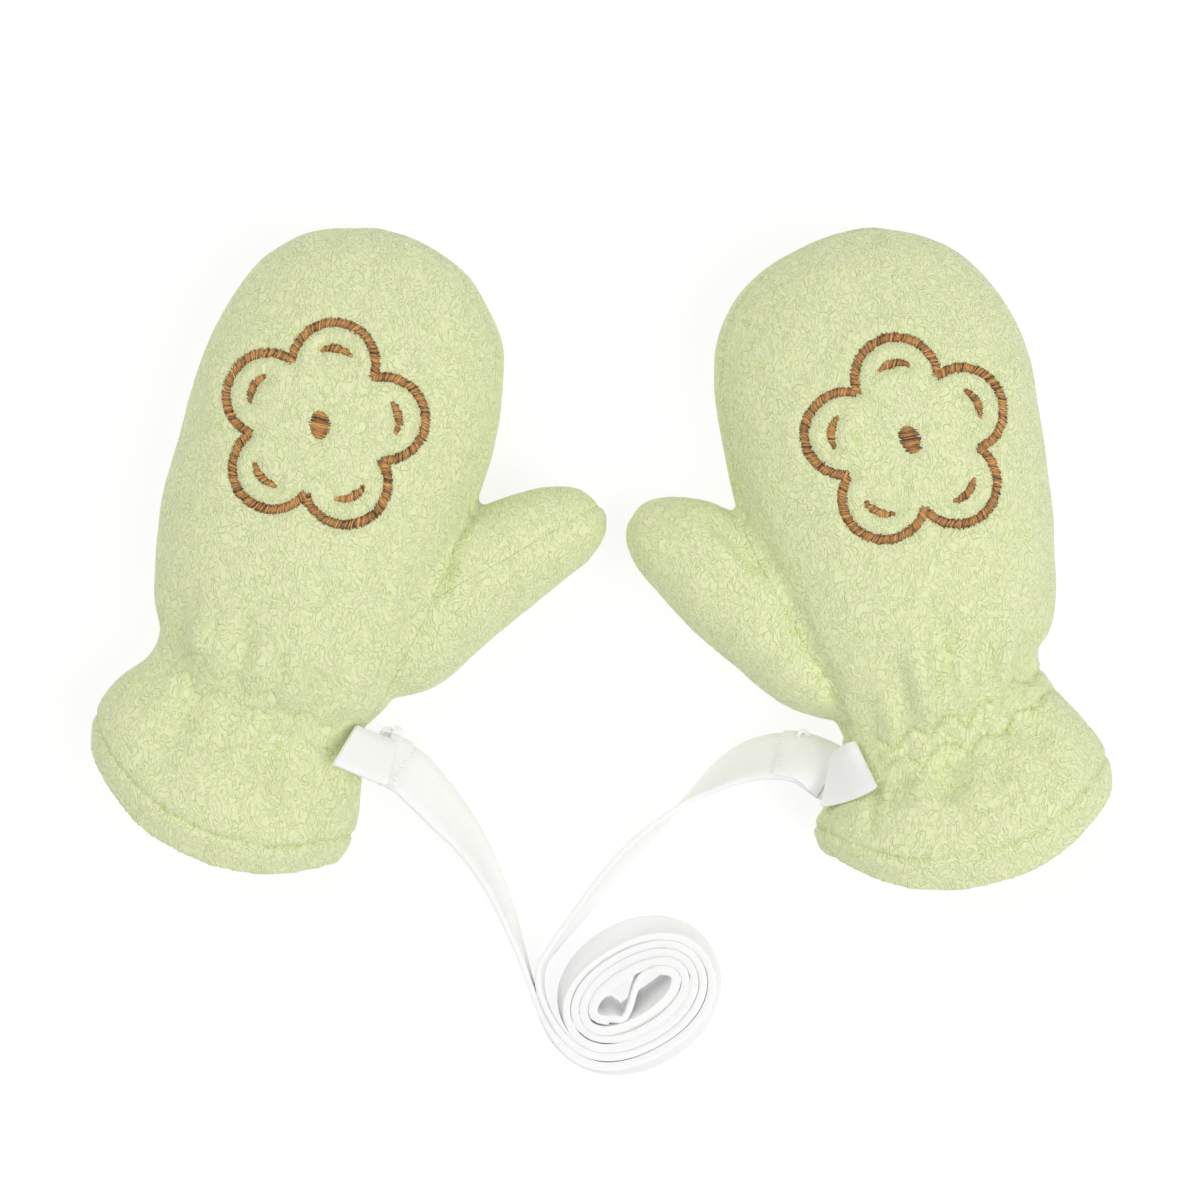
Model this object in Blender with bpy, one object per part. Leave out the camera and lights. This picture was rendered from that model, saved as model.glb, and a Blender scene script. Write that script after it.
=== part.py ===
"""A pair of a small child's fleece mittens, joined by one elastic tape, lying on their palms.

Millimetres in the tables, metres in the scene. +X to the right and +Y to the
fingertips as the pair is seen from above, +Z up, the floor at z = 0.
Each mitten is sewn from a back panel, an upper palm with the inner half of the
thumb, and a lower palm with the outer half of the thumb and the cuff. A short
tape loop is caught in the side seam at the wrist, and the long tape is sewn
through it; the middle of the tape is folded and wound up into an oval roll.
"""

import math

import bmesh
import bpy
import numpy as np
from mathutils import Vector

MM = 0.001
GAP = 0.3  # between pieces that touch
WALL = 2.8  # fleece with its pile
HEM_WALL = 4.6  # the turned hem is two layers
TAPE_WIDTH = 15.0
TAPE_THICK = 1.4
ROLL_HALF_LENGTH = 24.6
ROLL_HALF_WIDTH = 19.6
ROLL_TURN = 28.0  # degrees, long axis above +X
ROLL_CENTRE = (7.5, -114.6)
ROLL_TOP_INSET = 3.6  # the outer turns lean in towards the top
THUMB_FLOOR = 0.2
SEAM_HEIGHT = 21.0  # side seam at the middle of the hand
SEAM_RISE = 0.14  # the seam climbs towards the thumb side

RINGS_OUT, SEGMENTS_OUT = 25, 34
RINGS_IN, SEGMENTS_IN = 16, 22
THUMB_RINGS_OUT, THUMB_SEGMENTS_OUT = 10, 18
THUMB_RINGS_IN, THUMB_SEGMENTS_IN = 8, 14

# One row per section across the hand, from the mouth of the cuff to the fingertip.
# little_*: the outline on the little finger's side, thumb_*: on the thumb's side,
# mid: height of the widest line, top: crown, low: where the round would reach
# below (under 0 it lies flat on the floor), swell_top / swell_low: how far the
# crown and the underside bow out towards the mouth, wall: thickness of the cloth.
BODY_COLUMNS = "section little_x little_y thumb_x thumb_y mid top low swell_top swell_low wall".split()
LEFT_BODY = [
    ("mouth", -132.5, -47.5, -69.0, -79.0, 17.0, 37.0, -3.0, 13.0, 8.0, HEM_WALL),
    ("hem_line", -131.5, -40.0, -65.0, -72.0, 18.0, 42.0, -4.0, 13.5, 8.0, HEM_WALL),
    ("cuff", -126.0, -31.5, -63.0, -61.5, 18.0, 42.0, -3.0, 10.5, 6.5, WALL),
    ("gather_low", -117.5, -24.5, -65.5, -50.5, 17.0, 37.5, -1.5, 7.5, 4.5, WALL),
    ("gather_high", -115.0, -19.0, -66.5, -44.0, 17.0, 37.5, -1.5, 7.0, 4.0, WALL),
    ("heel", -116.0, -11.0, -56.0, -38.5, 18.0, 42.5, -2.5, 5.5, 3.0, WALL),
    ("thumb_root", -116.0, -3.5, -49.0, -26.5, 19.0, 45.0, -3.5, 3.5, 2.0, WALL),
    ("crotch_low", -115.5, 6.0, -42.0, -12.0, 19.0, 46.5, -4.0, 2.0, 1.0, WALL),
    ("crotch", -114.5, 15.0, -37.5, -0.5, 19.0, 47.0, -4.0, 0.5, 0.0, WALL),
    ("palm", -111.0, 27.5, -33.0, 12.5, 19.0, 47.0, -4.0, 0.0, 0.0, WALL),
    ("knuckle", -107.0, 41.5, -28.5, 27.5, 19.0, 46.5, -4.0, 0.0, 0.0, WALL),
    ("finger_low", -102.5, 55.5, -26.0, 42.0, 19.0, 45.0, -3.5, 0.0, 0.0, WALL),
    ("finger", -96.5, 67.0, -26.0, 55.5, 18.5, 42.0, -2.5, 0.0, 0.0, WALL),
    ("tip_low", -88.5, 77.5, -30.0, 65.5, 18.0, 37.5, -0.5, 0.0, 0.0, WALL),
    ("tip", -79.5, 83.5, -36.5, 75.0, 17.5, 32.0, 4.0, 0.0, 0.0, WALL),
    ("tip_high", -71.5, 85.5, -47.0, 82.0, 17.5, 26.0, 9.5, 0.0, 0.0, WALL),
    ("end", -59.5, 86.1, -58.5, 86.1, 17.5, 17.9, 17.1, 0.0, 0.0, WALL),
]
RIGHT_BODY = [
    ("mouth", 132.5, -59.0, 56.5, -75.5, 17.0, 37.0, -3.0, 16.0, 9.0, HEM_WALL),
    ("hem_line", 131.0, -50.5, 55.0, -69.5, 18.0, 42.0, -4.0, 15.5, 8.5, HEM_WALL),
    ("cuff", 125.0, -41.5, 59.5, -61.5, 18.0, 42.0, -3.0, 11.0, 6.5, WALL),
    ("gather_low", 114.5, -32.0, 65.0, -54.5, 17.0, 37.5, -1.5, 7.0, 4.5, WALL),
    ("gather_high", 113.0, -26.5, 66.5, -48.5, 17.0, 37.5, -1.5, 6.0, 4.0, WALL),
    ("heel", 116.5, -16.5, 58.5, -39.0, 18.0, 42.5, -2.5, 5.0, 3.0, WALL),
    ("thumb_root", 117.5, -8.0, 51.0, -27.0, 19.0, 45.0, -3.5, 3.5, 2.0, WALL),
    ("crotch_low", 117.0, 2.0, 44.0, -12.0, 19.0, 46.5, -4.0, 2.0, 1.0, WALL),
    ("crotch", 116.5, 13.0, 39.0, 1.0, 19.0, 47.0, -4.0, 0.5, 0.0, WALL),
    ("palm", 115.0, 25.5, 34.5, 15.0, 19.0, 47.0, -4.0, 0.0, 0.0, WALL),
    ("knuckle", 113.0, 40.0, 31.0, 31.0, 19.0, 46.5, -4.0, 0.0, 0.0, WALL),
    ("finger_low", 111.0, 50.5, 29.0, 45.0, 19.0, 45.0, -3.5, 0.0, 0.0, WALL),
    ("finger", 107.5, 60.5, 30.0, 57.0, 18.5, 42.0, -2.5, 0.0, 0.0, WALL),
    ("tip_low", 101.0, 71.0, 34.5, 67.5, 18.0, 37.5, -0.5, 0.0, 0.0, WALL),
    ("tip", 91.5, 80.0, 45.0, 77.0, 17.5, 32.0, 4.0, 0.0, 0.0, WALL),
    ("tip_high", 82.5, 84.0, 55.0, 82.5, 17.5, 26.0, 9.5, 0.0, 0.0, WALL),
    ("end", 69.5, 86.1, 68.5, 86.1, 17.5, 17.9, 17.1, 0.0, 0.0, WALL),
]

# One row per section across the thumb, from its root in the hand to its tip.
# upper_*: the outline towards the fingertips, lower_*: towards the cuff.
THUMB_COLUMNS = "section upper_x upper_y lower_x lower_y mid top low wall".split()
LEFT_THUMB = [
    ("root", -58.5, -4.0, -66.0, -38.0, 17.0, 33.0, 1.5, WALL),
    ("web", -46.0, 6.0, -43.0, -33.0, 17.0, 34.5, -0.5, WALL),
    ("crotch", -37.5, 11.5, -30.0, -23.5, 17.0, 34.5, -1.0, WALL),
    ("ball", -30.0, 14.5, -19.5, -15.0, 17.0, 33.0, -0.5, WALL),
    ("middle", -22.0, 17.0, -10.5, -7.0, 16.5, 31.0, 0.5, WALL),
    ("pad", -14.0, 18.5, -3.0, 0.0, 16.0, 28.0, 3.0, WALL),
    ("tip", -6.5, 18.0, 0.5, 6.0, 16.0, 24.0, 7.5, WALL),
    ("end", 0.2, 13.0, 0.9, 12.0, 16.0, 16.4, 15.6, WALL),
]
RIGHT_THUMB = [
    ("root", 59.0, -8.0, 66.0, -43.5, 17.0, 33.0, 1.5, WALL),
    ("web", 47.5, 3.5, 48.0, -38.5, 17.0, 34.5, -0.5, WALL),
    ("crotch", 39.0, 10.0, 34.0, -27.5, 17.0, 34.5, -1.0, WALL),
    ("ball", 31.0, 13.5, 23.0, -18.0, 17.0, 33.0, -0.5, WALL),
    ("middle", 24.0, 15.5, 14.5, -9.0, 16.5, 31.0, 0.5, WALL),
    ("pad", 17.0, 16.0, 9.0, -2.0, 16.0, 28.0, 3.0, WALL),
    ("tip", 11.0, 14.5, 7.0, 2.5, 16.0, 24.0, 7.5, WALL),
    ("end", 6.4, 8.5, 6.1, 7.5, 16.0, 16.4, 15.6, WALL),
]

# Largest folds above and below the gathered wrist: soft troughs in the back.
# along: section number (0 at the mouth), turn: degrees round the section from the
# little finger's side over the crown to the thumb's side, run: half length in
# sections, span: half width in degrees, depth in mm (a ridge is negative).
FOLD_COLUMNS = "fold along turn run span depth".split()
LEFT_FOLDS = [
    ("valley_little", 5.2, 48.0, 1.0, 12.0, 3.4),
    ("valley_crown", 5.4, 84.0, 1.2, 13.0, 3.8),
    ("valley_thumb", 5.2, 121.0, 0.9, 12.0, 2.8),
    ("lobe_little", 5.0, 66.0, 0.8, 9.0, -1.4),
    ("lobe_crown", 5.0, 103.0, 0.8, 9.0, -1.2),
    ("cuff_valley", 2.7, 68.0, 1.0, 11.0, 2.4),
    ("cuff_valley_thumb", 2.8, 110.0, 0.9, 11.0, 2.0),
    ("palm_valley", 4.6, 262.0, 1.0, 14.0, 2.2),
]
RIGHT_FOLDS = [
    ("valley_little", 5.1, 44.0, 0.9, 12.0, 3.0),
    ("valley_crown", 5.6, 78.0, 1.4, 14.0, 4.0),
    ("valley_thumb", 5.2, 117.0, 1.0, 12.0, 3.0),
    ("lobe_little", 5.0, 61.0, 0.8, 9.0, -1.2),
    ("lobe_crown", 5.1, 98.0, 0.8, 9.0, -1.4),
    ("cuff_valley", 2.8, 58.0, 1.0, 11.0, 2.4),
    ("cuff_valley_crown", 2.7, 95.0, 1.0, 11.0, 2.4),
    ("palm_valley", 4.6, 278.0, 1.0, 14.0, 2.2),
]

# Plan outlines of the panels (x, y). The back panel ends along the valley between
# the hand and the thumb, and runs past the outline of the hand elsewhere.
LEFT_BACK_PLAN = [
    (-160, -110), (-46, -110), (-46, -50), (-62, -44.5), (-55.5, -36), (-50.5, -26), (-46, -17), (-42, -7),
    (-38, 3.5), (-31, 14), (-25, 22), (-8, 42), (-8, 110), (-160, 110),
]
RIGHT_BACK_PLAN = [
    (160, -110), (160, 110), (10, 110), (10, 40), (27, 22), (34, 12.5), (39, 3), (43, -6), (51, -21),
    (58.5, -34), (63, -43), (48, -50), (42, -60), (42, -110),
]
LEFT_UPPER_PLAN = [(-150, -8), (-78.5, -12), (-45, -11.5), (-21.5, 1.5), (2.5, 16), (14, 23), (14, 110), (-150, 110)]
RIGHT_UPPER_PLAN = [(150, -8), (150, 110), (8, 110), (8, 42), (26, 21.5), (33, 12), (38, 3), (43, -6), (62, -9)]
# Under the right thumb the upper palm also takes the thumb's lower half.
RIGHT_THUMB_UNDER_PLAN = [(92, -8.5), (70, 14), (30, 40), (-6, 34), (-6, -46), (44, -46), (58, -28)]
RIGHT_THUMB_SPLIT = 14.6

# The tape's leads, from the tape loop to the roll: x, y, centre height, and tilt
# in degrees (0 lies flat, 90 stands on edge with its left edge down).
TAPE_COLUMNS = "x y z tilt".split()
LEFT_LEAD = [
    (-53.4, -54.0, 18.6, 40.0), (-50.6, -55.5, 17.0, 41.0), (-47.0, -59.2, 15.0, 44.0), (-41.5, -65.5, 12.2, 50.0), (-35.0, -73.7, 9.8, 62.0),
    (-28.8, -84.5, 8.5, 74.0), (-24.0, -96.0, 8.1, 82.0), (-20.9, -105.0, 7.9, 88.0), (-19.2, -110.5, 7.9, 90.0),
]
RIGHT_LEAD = [
    (52.6, -52.2, 17.8, -40.0), (49.0, -51.6, 16.4, -42.0), (44.5, -51.6, 14.6, -46.0), (35.5, -54.0, 11.2, -60.0), (29.0, -58.0, 9.2, -74.0),
    (23.5, -62.3, 8.1, -87.0), (17.0, -68.0, 8.0, -98.0), (10.0, -74.3, 8.0, -104.0), (2.5, -82.3, 8.0, -105.0),
    (-5.0, -92.0, 8.0, -104.0), (-11.2, -99.9, 8.0, -100.0), (-15.0, -105.0, 8.0, -97.0),
]

# The tape loops at the wrists: the path of the tape from its sewn end out over the
# top to the fold and back below. out: mm away from the side seam, z: height,
# tilt: degrees as for the leads.
LOOP_COLUMNS = "out z tilt".split()
LOOP = [
    (0.2, 32.4, 40.0), (3.4, 29.9, 40.0), (7.6, 25.8, 39.0), (10.9, 22.2, 38.0), (12.1, 20.2, 38.0),
    (11.4, 18.6, 38.0), (9.4, 19.3, 38.0), (6.8, 21.4, 39.0), (5.0, 23.2, 40.0),
]
LEFT_LOOP_START, LEFT_LOOP_HEADING = (-67.2, -49.4), (0.951, -0.309)
RIGHT_LOOP_START, RIGHT_LOOP_HEADING = (66.6, -54.4), (-0.985, 0.174)

FLEECE = (0.72, 0.80, 0.44, 1.0)
TAPE = (0.88, 0.88, 0.87, 1.0)


def clear_scene():
    for obj in list(bpy.data.objects):
        bpy.data.objects.remove(obj, do_unlink=True)


def material(name, colour, roughness):
    made = bpy.data.materials.new(name)
    made.use_nodes = True
    shader = made.node_tree.nodes["Principled BSDF"]
    shader.inputs["Base Color"].default_value = colour
    shader.inputs["Roughness"].default_value = roughness
    shader.inputs["Metallic"].default_value = 0.0
    return made


def through(stations, values, at):
    """Smooth curve through the table's rows: a Catmull-Rom spline with uneven spacing."""
    stations, values, at = np.asarray(stations), np.asarray(values, float), np.asarray(at, float)
    slope = np.empty_like(values)
    step = np.diff(stations)[:, None]
    rate = np.diff(values, axis=0) / step
    slope[1:-1] = (rate[:-1] * step[1:] + rate[1:] * step[:-1]) / (step[1:] + step[:-1])
    slope[0], slope[-1] = rate[0], rate[-1]
    i = np.clip(np.searchsorted(stations, at, side="right") - 1, 0, len(stations) - 2)
    h = (stations[i + 1] - stations[i])[:, None]
    t = ((at - stations[i])[:, None]) / h
    return (
        (2 * t**3 - 3 * t**2 + 1) * values[i]
        + (t**3 - 2 * t**2 + t) * h * slope[i]
        + (3 * t**2 - 2 * t**3) * values[i + 1]
        + (t**3 - t**2) * h * slope[i + 1]
    )


def stations_of(first, second, top, low):
    """Distance along the skin from one section to the next, so that the ends come out round."""
    centre = (first + second) / 2
    half = np.linalg.norm(second - first, axis=1) / 2
    rise = (top - low) / 2
    step = np.sqrt((np.diff(centre, axis=0) ** 2).sum(1) + np.diff(half) ** 2 + 0.3 * np.diff(rise) ** 2)
    return np.concatenate([[0.0], np.cumsum(step)])


def power(value, exponent):
    return np.sign(value) * np.abs(value) ** exponent


def folds_depth(folds, row, turn):
    depth = np.zeros(np.broadcast(row, turn).shape)
    for _, along, at, run, span, size in folds:
        depth += size * np.exp(-(((row - along) / run) ** 2) - ((turn - at) / span) ** 2)
    return depth


def skin(columns, table, rings, segments, floor, folds=()):
    """Rings of points of the closed form, from the first row to the last, and the wall at each ring."""
    data = {name: np.array([row[k] for row in table], float) for k, name in enumerate(columns) if k}
    side_a = [c for c in columns if c.endswith("_x")]
    one = np.stack([data[side_a[0]], data[side_a[0][:-1] + "y"]], 1)
    two = np.stack([data[side_a[1]], data[side_a[1][:-1] + "y"]], 1)
    length = stations_of(one, two, data["top"], data["low"])
    # closer rings across the gathered wrist and where the round end closes
    fine = np.linspace(0.0, length[-1], 400)
    number = np.interp(fine, length, np.arange(len(table)))
    crowd = 1.0 + (0.9 * np.exp(-(((number - 4.4) / 1.8) ** 2)) if folds else 0.0) + 0.6 * (fine / length[-1]) ** 6
    crowd = np.concatenate([[0.0], np.cumsum((crowd[1:] + crowd[:-1]) / 2)])
    at = np.interp(np.linspace(0.0, crowd[-1], rings), crowd, fine)
    swell = [data.get("swell_top", np.zeros(len(table))), data.get("swell_low", np.zeros(len(table)))]
    values = np.column_stack([one, two, data["mid"], data["top"], data["low"], *swell, data["wall"], np.arange(len(table))])
    v = through(length, values, at)
    turn = np.linspace(0.0, 2 * math.pi, segments, endpoint=False)[None, :]
    a, b = v[:, 0:2], v[:, 2:4]
    centre, half = (a + b) / 2, np.linalg.norm(b - a, axis=1)[:, None] / 2
    across = (b - a) / (2 * half)
    out = np.stack([across[:, 1], -across[:, 0]], 1)
    if out[0] @ (centre[0] - centre[-1]) < 0:
        out = -out
    mid, top, low = v[:, 4:5], v[:, 5:6], v[:, 6:7]
    c, s = -np.cos(turn), np.sin(turn)
    flat = power(c, 2 / 2.25) * half
    high = np.where(s >= 0, mid + (top - mid) * power(np.abs(s), 2 / 2.2), mid - (mid - low) * power(np.abs(s), 2 / 2.3))
    bow = np.where(s >= 0, v[:, 7:8], v[:, 8:9]) * s**2
    points = np.empty((rings, segments, 3))
    points[..., 0] = centre[:, 0:1] + across[:, 0:1] * flat + out[:, 0:1] * bow
    points[..., 1] = centre[:, 1:2] + across[:, 1:2] * flat + out[:, 1:2] * bow
    points[..., 2] = high
    if folds:
        depth = folds_depth(folds, v[:, 10:11], np.degrees(turn))
        points -= depth[..., None] * normals(points)
    points[..., 2] = np.maximum(points[..., 2], floor)
    return points, v[:, 9], out


def normals(points):
    """Outward normals of a grid of rings."""
    along = np.gradient(points, axis=0)
    around = np.roll(points, -1, axis=1) - np.roll(points, 1, axis=1)
    n = np.cross(around, along)
    n /= np.maximum(np.linalg.norm(n, axis=2, keepdims=True), 1e-9)
    centre = points.mean(axis=1, keepdims=True)
    return n * np.where(((points - centre) * n).sum(axis=(1, 2)) < 0, -1.0, 1.0)[:, None, None]


def solid_of_rings(name, rings, first_point, last_point):
    """Closed mesh from rings of points, closed with a fan at each end."""
    mesh = bmesh.new()
    rows = [[mesh.verts.new(Vector(p) * MM) for p in ring] for ring in rings]
    ends = [mesh.verts.new(Vector(p) * MM) for p in (first_point, last_point)]
    n = len(rows[0])
    for one, two in zip(rows, rows[1:]):
        for k in range(n):
            mesh.faces.new((one[k], one[(k + 1) % n], two[(k + 1) % n], two[k]))
    for end, row in zip(ends, (rows[0], rows[-1])):
        for k in range(n):
            mesh.faces.new((end, row[k], row[(k + 1) % n]))
    bmesh.ops.triangulate(mesh, faces=mesh.faces[:])
    bmesh.ops.recalc_face_normals(mesh, faces=mesh.faces[:])
    if mesh.calc_volume(signed=True) < 0:
        bmesh.ops.reverse_faces(mesh, faces=mesh.faces[:])
    data = bpy.data.meshes.new(name)
    mesh.to_mesh(data)
    mesh.free()
    obj = bpy.data.objects.new(name, data)
    bpy.context.scene.collection.objects.link(obj)
    return obj


def prism(name, plan, low, high, grow=0.0):
    """Upright prism over a plan outline. low and high are heights or functions of x, y."""
    points = [Vector(p) for p in plan]
    area = sum(p.x * q.y - p.y * q.x for p, q in zip(points, points[1:] + points[:1]))
    if area < 0:
        points.reverse()
    grown = []
    for before, here, after in zip(points[-1:] + points[:-1], points, points[1:] + points[:1]):
        one, two = (here - before).normalized(), (after - here).normalized()
        n1, n2 = Vector((one.y, -one.x)), Vector((two.y, -two.x))
        both = (n1 + n2).normalized()
        grown.append(here + both * (grow / max(0.3, both.dot(n1))))
    height = [(h if callable(h) else (lambda x, y, h=h: h)) for h in (low, high)]
    mesh = bmesh.new()
    floor = [mesh.verts.new(Vector((p.x, p.y, height[0](p.x, p.y) - grow)) * MM) for p in grown]
    roof = [mesh.verts.new(Vector((p.x, p.y, height[1](p.x, p.y) + grow)) * MM) for p in grown]
    n = len(grown)
    mesh.faces.new(floor[::-1])
    mesh.faces.new(roof)
    for k in range(n):
        mesh.faces.new((floor[k], floor[(k + 1) % n], roof[(k + 1) % n], roof[k]))
    bmesh.ops.recalc_face_normals(mesh, faces=mesh.faces[:])
    if mesh.calc_volume(signed=True) < 0:
        bmesh.ops.reverse_faces(mesh, faces=mesh.faces[:])
    data = bpy.data.meshes.new(name)
    mesh.to_mesh(data)
    mesh.free()
    obj = bpy.data.objects.new(name, data)
    bpy.context.scene.collection.objects.link(obj)
    obj.hide_render = True
    obj.display_type = "WIRE"
    return obj


def cut(target, operation, tool):
    """Apply a Boolean to the target's mesh."""
    modifier = target.modifiers.new(operation.lower(), "BOOLEAN")
    modifier.operation = operation
    modifier.solver = "EXACT"
    modifier.object = tool
    graph = bpy.context.evaluated_depsgraph_get()
    graph.update()
    made = bpy.data.meshes.new_from_object(target.evaluated_get(graph))
    target.modifiers.clear()
    old = target.data
    target.data = made
    bpy.data.meshes.remove(old)
    return target


def copy_of(obj, name):
    twin = bpy.data.objects.new(name, obj.data.copy())
    bpy.context.scene.collection.objects.link(twin)
    return twin


def tidy(obj, surface):
    """Clean up after the cuts: weld slivers, keep the one large body, shade smooth."""
    mesh = bmesh.new()
    mesh.from_mesh(obj.data)
    bmesh.ops.remove_doubles(mesh, verts=mesh.verts[:], dist=0.00004)
    bmesh.ops.dissolve_degenerate(mesh, edges=mesh.edges[:], dist=0.00003)
    bmesh.ops.triangulate(mesh, faces=mesh.faces[:])
    left = set(mesh.verts)
    shells = []
    while left:
        stack, seen = [next(iter(left))], set()
        while stack:
            vert = stack.pop()
            if vert in seen:
                continue
            seen.add(vert)
            stack.extend(e.other_vert(vert) for e in vert.link_edges)
        left -= seen
        shells.append(seen)
    shells.sort(key=len, reverse=True)
    for small in shells[1:]:
        bmesh.ops.delete(mesh, geom=list(small), context="VERTS")
    mesh.to_mesh(obj.data)
    mesh.free()
    obj.data.materials.clear()
    obj.data.materials.append(surface)
    obj.data.shade_smooth()
    obj.data.set_sharp_from_angle(angle=math.radians(50))
    return obj


def hide(obj):
    obj.hide_render = True
    obj.display_type = "WIRE"


def form(name, columns, table, out_size, in_size, floor, folds=()):
    """Outer solid and the hollow inside it."""
    outer, wall, out = skin(columns, table, *out_size, floor, folds)
    inner_rows = out_size[0]
    fine, fine_wall, _ = skin(columns, table, inner_rows, in_size[1], floor, folds)
    inner = fine - fine_wall[:, None, None] * normals(fine)
    inner[..., 2] = np.maximum(inner[..., 2], floor + fine_wall[:, None])
    pick = np.unique(np.round(np.linspace(0, inner_rows - 3, in_size[0])).astype(int))
    inner = inner[pick]
    outward = np.array([out[0][0], out[0][1], 0.0])
    if len(columns) > 9:
        # the hand: the hollow runs out through the mouth of the cuff
        rim = inner[0] + outward * 1.2
        rim_in = outer[0] + (outer[0].mean(axis=0) - outer[0]) * 0.32 + outward * 0.9
        past = inner[0] + outward * 12.0
        rings = [rim_in, *outer[:-1]]
        solid = solid_of_rings(name, rings, rim_in.mean(axis=0), outer[-1].mean(axis=0))
        hollow = solid_of_rings(name + "_hollow", [past, rim, *inner[1:]], past.mean(axis=0), inner[-1].mean(axis=0) + (inner[-1].mean(axis=0) - inner[-2].mean(axis=0)) * 0.6)
    else:
        solid = solid_of_rings(name, outer[:-1], outer[0].mean(axis=0), outer[-1].mean(axis=0))
        back = inner[0] - 0.0 * outward
        hollow = solid_of_rings(name + "_hollow", [back, *inner[1:]], back.mean(axis=0), inner[-1].mean(axis=0) + (inner[-1].mean(axis=0) - inner[-2].mean(axis=0)) * 0.5)
    return solid, hollow


def seam_plane(table):
    """Height of the side seam over the plan: it climbs towards the thumb."""
    rows = [row for row in table if row[0] in ("palm", "knuckle", "crotch")]
    little = np.mean([row[1:3] for row in rows], axis=0)
    thumb = np.mean([row[3:5] for row in rows], axis=0)
    middle, across = (little + thumb) / 2, (thumb - little) / np.linalg.norm(thumb - little)
    return lambda x, y: SEAM_HEIGHT + SEAM_RISE * ((x - middle[0]) * across[0] + (y - middle[1]) * across[1])


def mitten(side, body, thumb, folds, back_plan, upper_plans, surface):
    hand, hand_in = form(side + "_hand", BODY_COLUMNS, body, (RINGS_OUT, SEGMENTS_OUT), (RINGS_IN, SEGMENTS_IN), 0.0, folds)
    finger, finger_in = form(
        side + "_finger", THUMB_COLUMNS, thumb, (THUMB_RINGS_OUT, THUMB_SEGMENTS_OUT), (THUMB_RINGS_IN, THUMB_SEGMENTS_IN), THUMB_FLOOR
    )
    cut(hand, "UNION", finger)
    cut(hand_in, "UNION", finger_in)
    cut(hand, "DIFFERENCE", hand_in)
    seam = seam_plane(body)
    back_room = prism(side + "_back_room", back_plan, seam, 120.0)
    back_clear = prism(side + "_back_clear", back_plan, seam, 120.0, GAP)
    back = cut(copy_of(hand, side + "_back"), "INTERSECT", back_room)
    cut(hand, "DIFFERENCE", back_clear)
    upper = copy_of(hand, side + "_palm_upper")
    lower = copy_of(hand, side + "_palm_lower")
    rooms = [prism(side + "_upper_room%d" % k, plan, low, high) for k, (plan, low, high) in enumerate(upper_plans)]
    clears = [prism(side + "_upper_clear%d" % k, plan, low, high, GAP) for k, (plan, low, high) in enumerate(upper_plans)]
    for extra in rooms[1:]:
        cut(rooms[0], "UNION", extra)
    for extra in clears[1:]:
        cut(clears[0], "UNION", extra)
    cut(upper, "INTERSECT", rooms[0])
    cut(lower, "DIFFERENCE", clears[0])
    for helper in (hand, hand_in, finger, finger_in, back_room, back_clear, *rooms, *clears):
        bpy.data.objects.remove(helper, do_unlink=True)
    for piece in (back, upper, lower):
        tidy(piece, surface)
    return back, upper, lower


def strip(name, centres, widths, thick, surface, width=TAPE_WIDTH):
    """Flat tape as a closed solid. widths are unit vectors across the tape."""
    centres, widths = np.asarray(centres, float), np.asarray(widths, float)
    along = np.gradient(centres, axis=0)
    widths = widths - along * ((widths * along).sum(1) / (along * along).sum(1))[:, None]
    widths /= np.linalg.norm(widths, axis=1)[:, None]
    through_it = np.cross(along, widths)
    through_it /= np.linalg.norm(through_it, axis=1)[:, None]
    mesh = bmesh.new()
    rows = []
    for c, w, t in zip(centres, widths, through_it):
        corners = [c + w * width / 2 * a + t * thick / 2 * b for a, b in ((-1, -1), (0, -1), (1, -1), (1, 1), (0, 1), (-1, 1))]
        rows.append([mesh.verts.new(Vector(p) * MM) for p in corners])
    for one, two in zip(rows, rows[1:]):
        for k in range(6):
            mesh.faces.new((one[k], one[(k + 1) % 6], two[(k + 1) % 6], two[k]))
    mesh.faces.new(rows[0][::-1])
    mesh.faces.new(rows[-1])
    bmesh.ops.triangulate(mesh, faces=mesh.faces[:])
    bmesh.ops.recalc_face_normals(mesh, faces=mesh.faces[:])
    if mesh.calc_volume(signed=True) < 0:
        bmesh.ops.reverse_faces(mesh, faces=mesh.faces[:])
    data = bpy.data.meshes.new(name)
    mesh.to_mesh(data)
    mesh.free()
    data.materials.append(surface)
    data.shade_smooth()
    data.set_sharp_from_angle(angle=math.radians(40))
    obj = bpy.data.objects.new(name, data)
    bpy.context.scene.collection.objects.link(obj)
    return obj


def width_vector(heading, tilt):
    """Across a tape that heads along (x, y): its left edge goes down as the tilt grows."""
    heading = np.asarray(heading, float) / np.linalg.norm(heading)
    angle = math.radians(tilt)
    return np.array([-heading[1] * math.cos(angle), heading[0] * math.cos(angle), -math.sin(angle)])


def lead(name, table, surface, count=20):
    rows = np.array(table, float)
    length = np.concatenate([[0.0], np.cumsum(np.linalg.norm(np.diff(rows[:, :3], axis=0), axis=1))])
    v = through(length, rows, np.linspace(0.0, length[-1], count))
    heading = np.gradient(v[:, :2], axis=0)
    return strip(name, v[:, :3], [width_vector(h, t) for h, t in zip(heading, v[:, 3])], TAPE_THICK, surface)


def loop(name, start, heading, hand, surface):
    """Short folded tape caught in the side seam. hand is 1 where the left edge is down, -1 where it is up."""
    rows = np.array(LOOP, float)
    length = np.concatenate([[0.0], np.cumsum(np.linalg.norm(np.diff(rows[:, :2], axis=0), axis=1))])
    v = through(length, rows, np.linspace(0.0, length[-1], 17))
    centres = np.column_stack([start[0] + heading[0] * v[:, 0], start[1] + heading[1] * v[:, 0], v[:, 1]])
    return strip(name, centres, [width_vector(heading, hand * t) for t in v[:, 2]], 1.2, surface, TAPE_WIDTH - 1.0)


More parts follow.
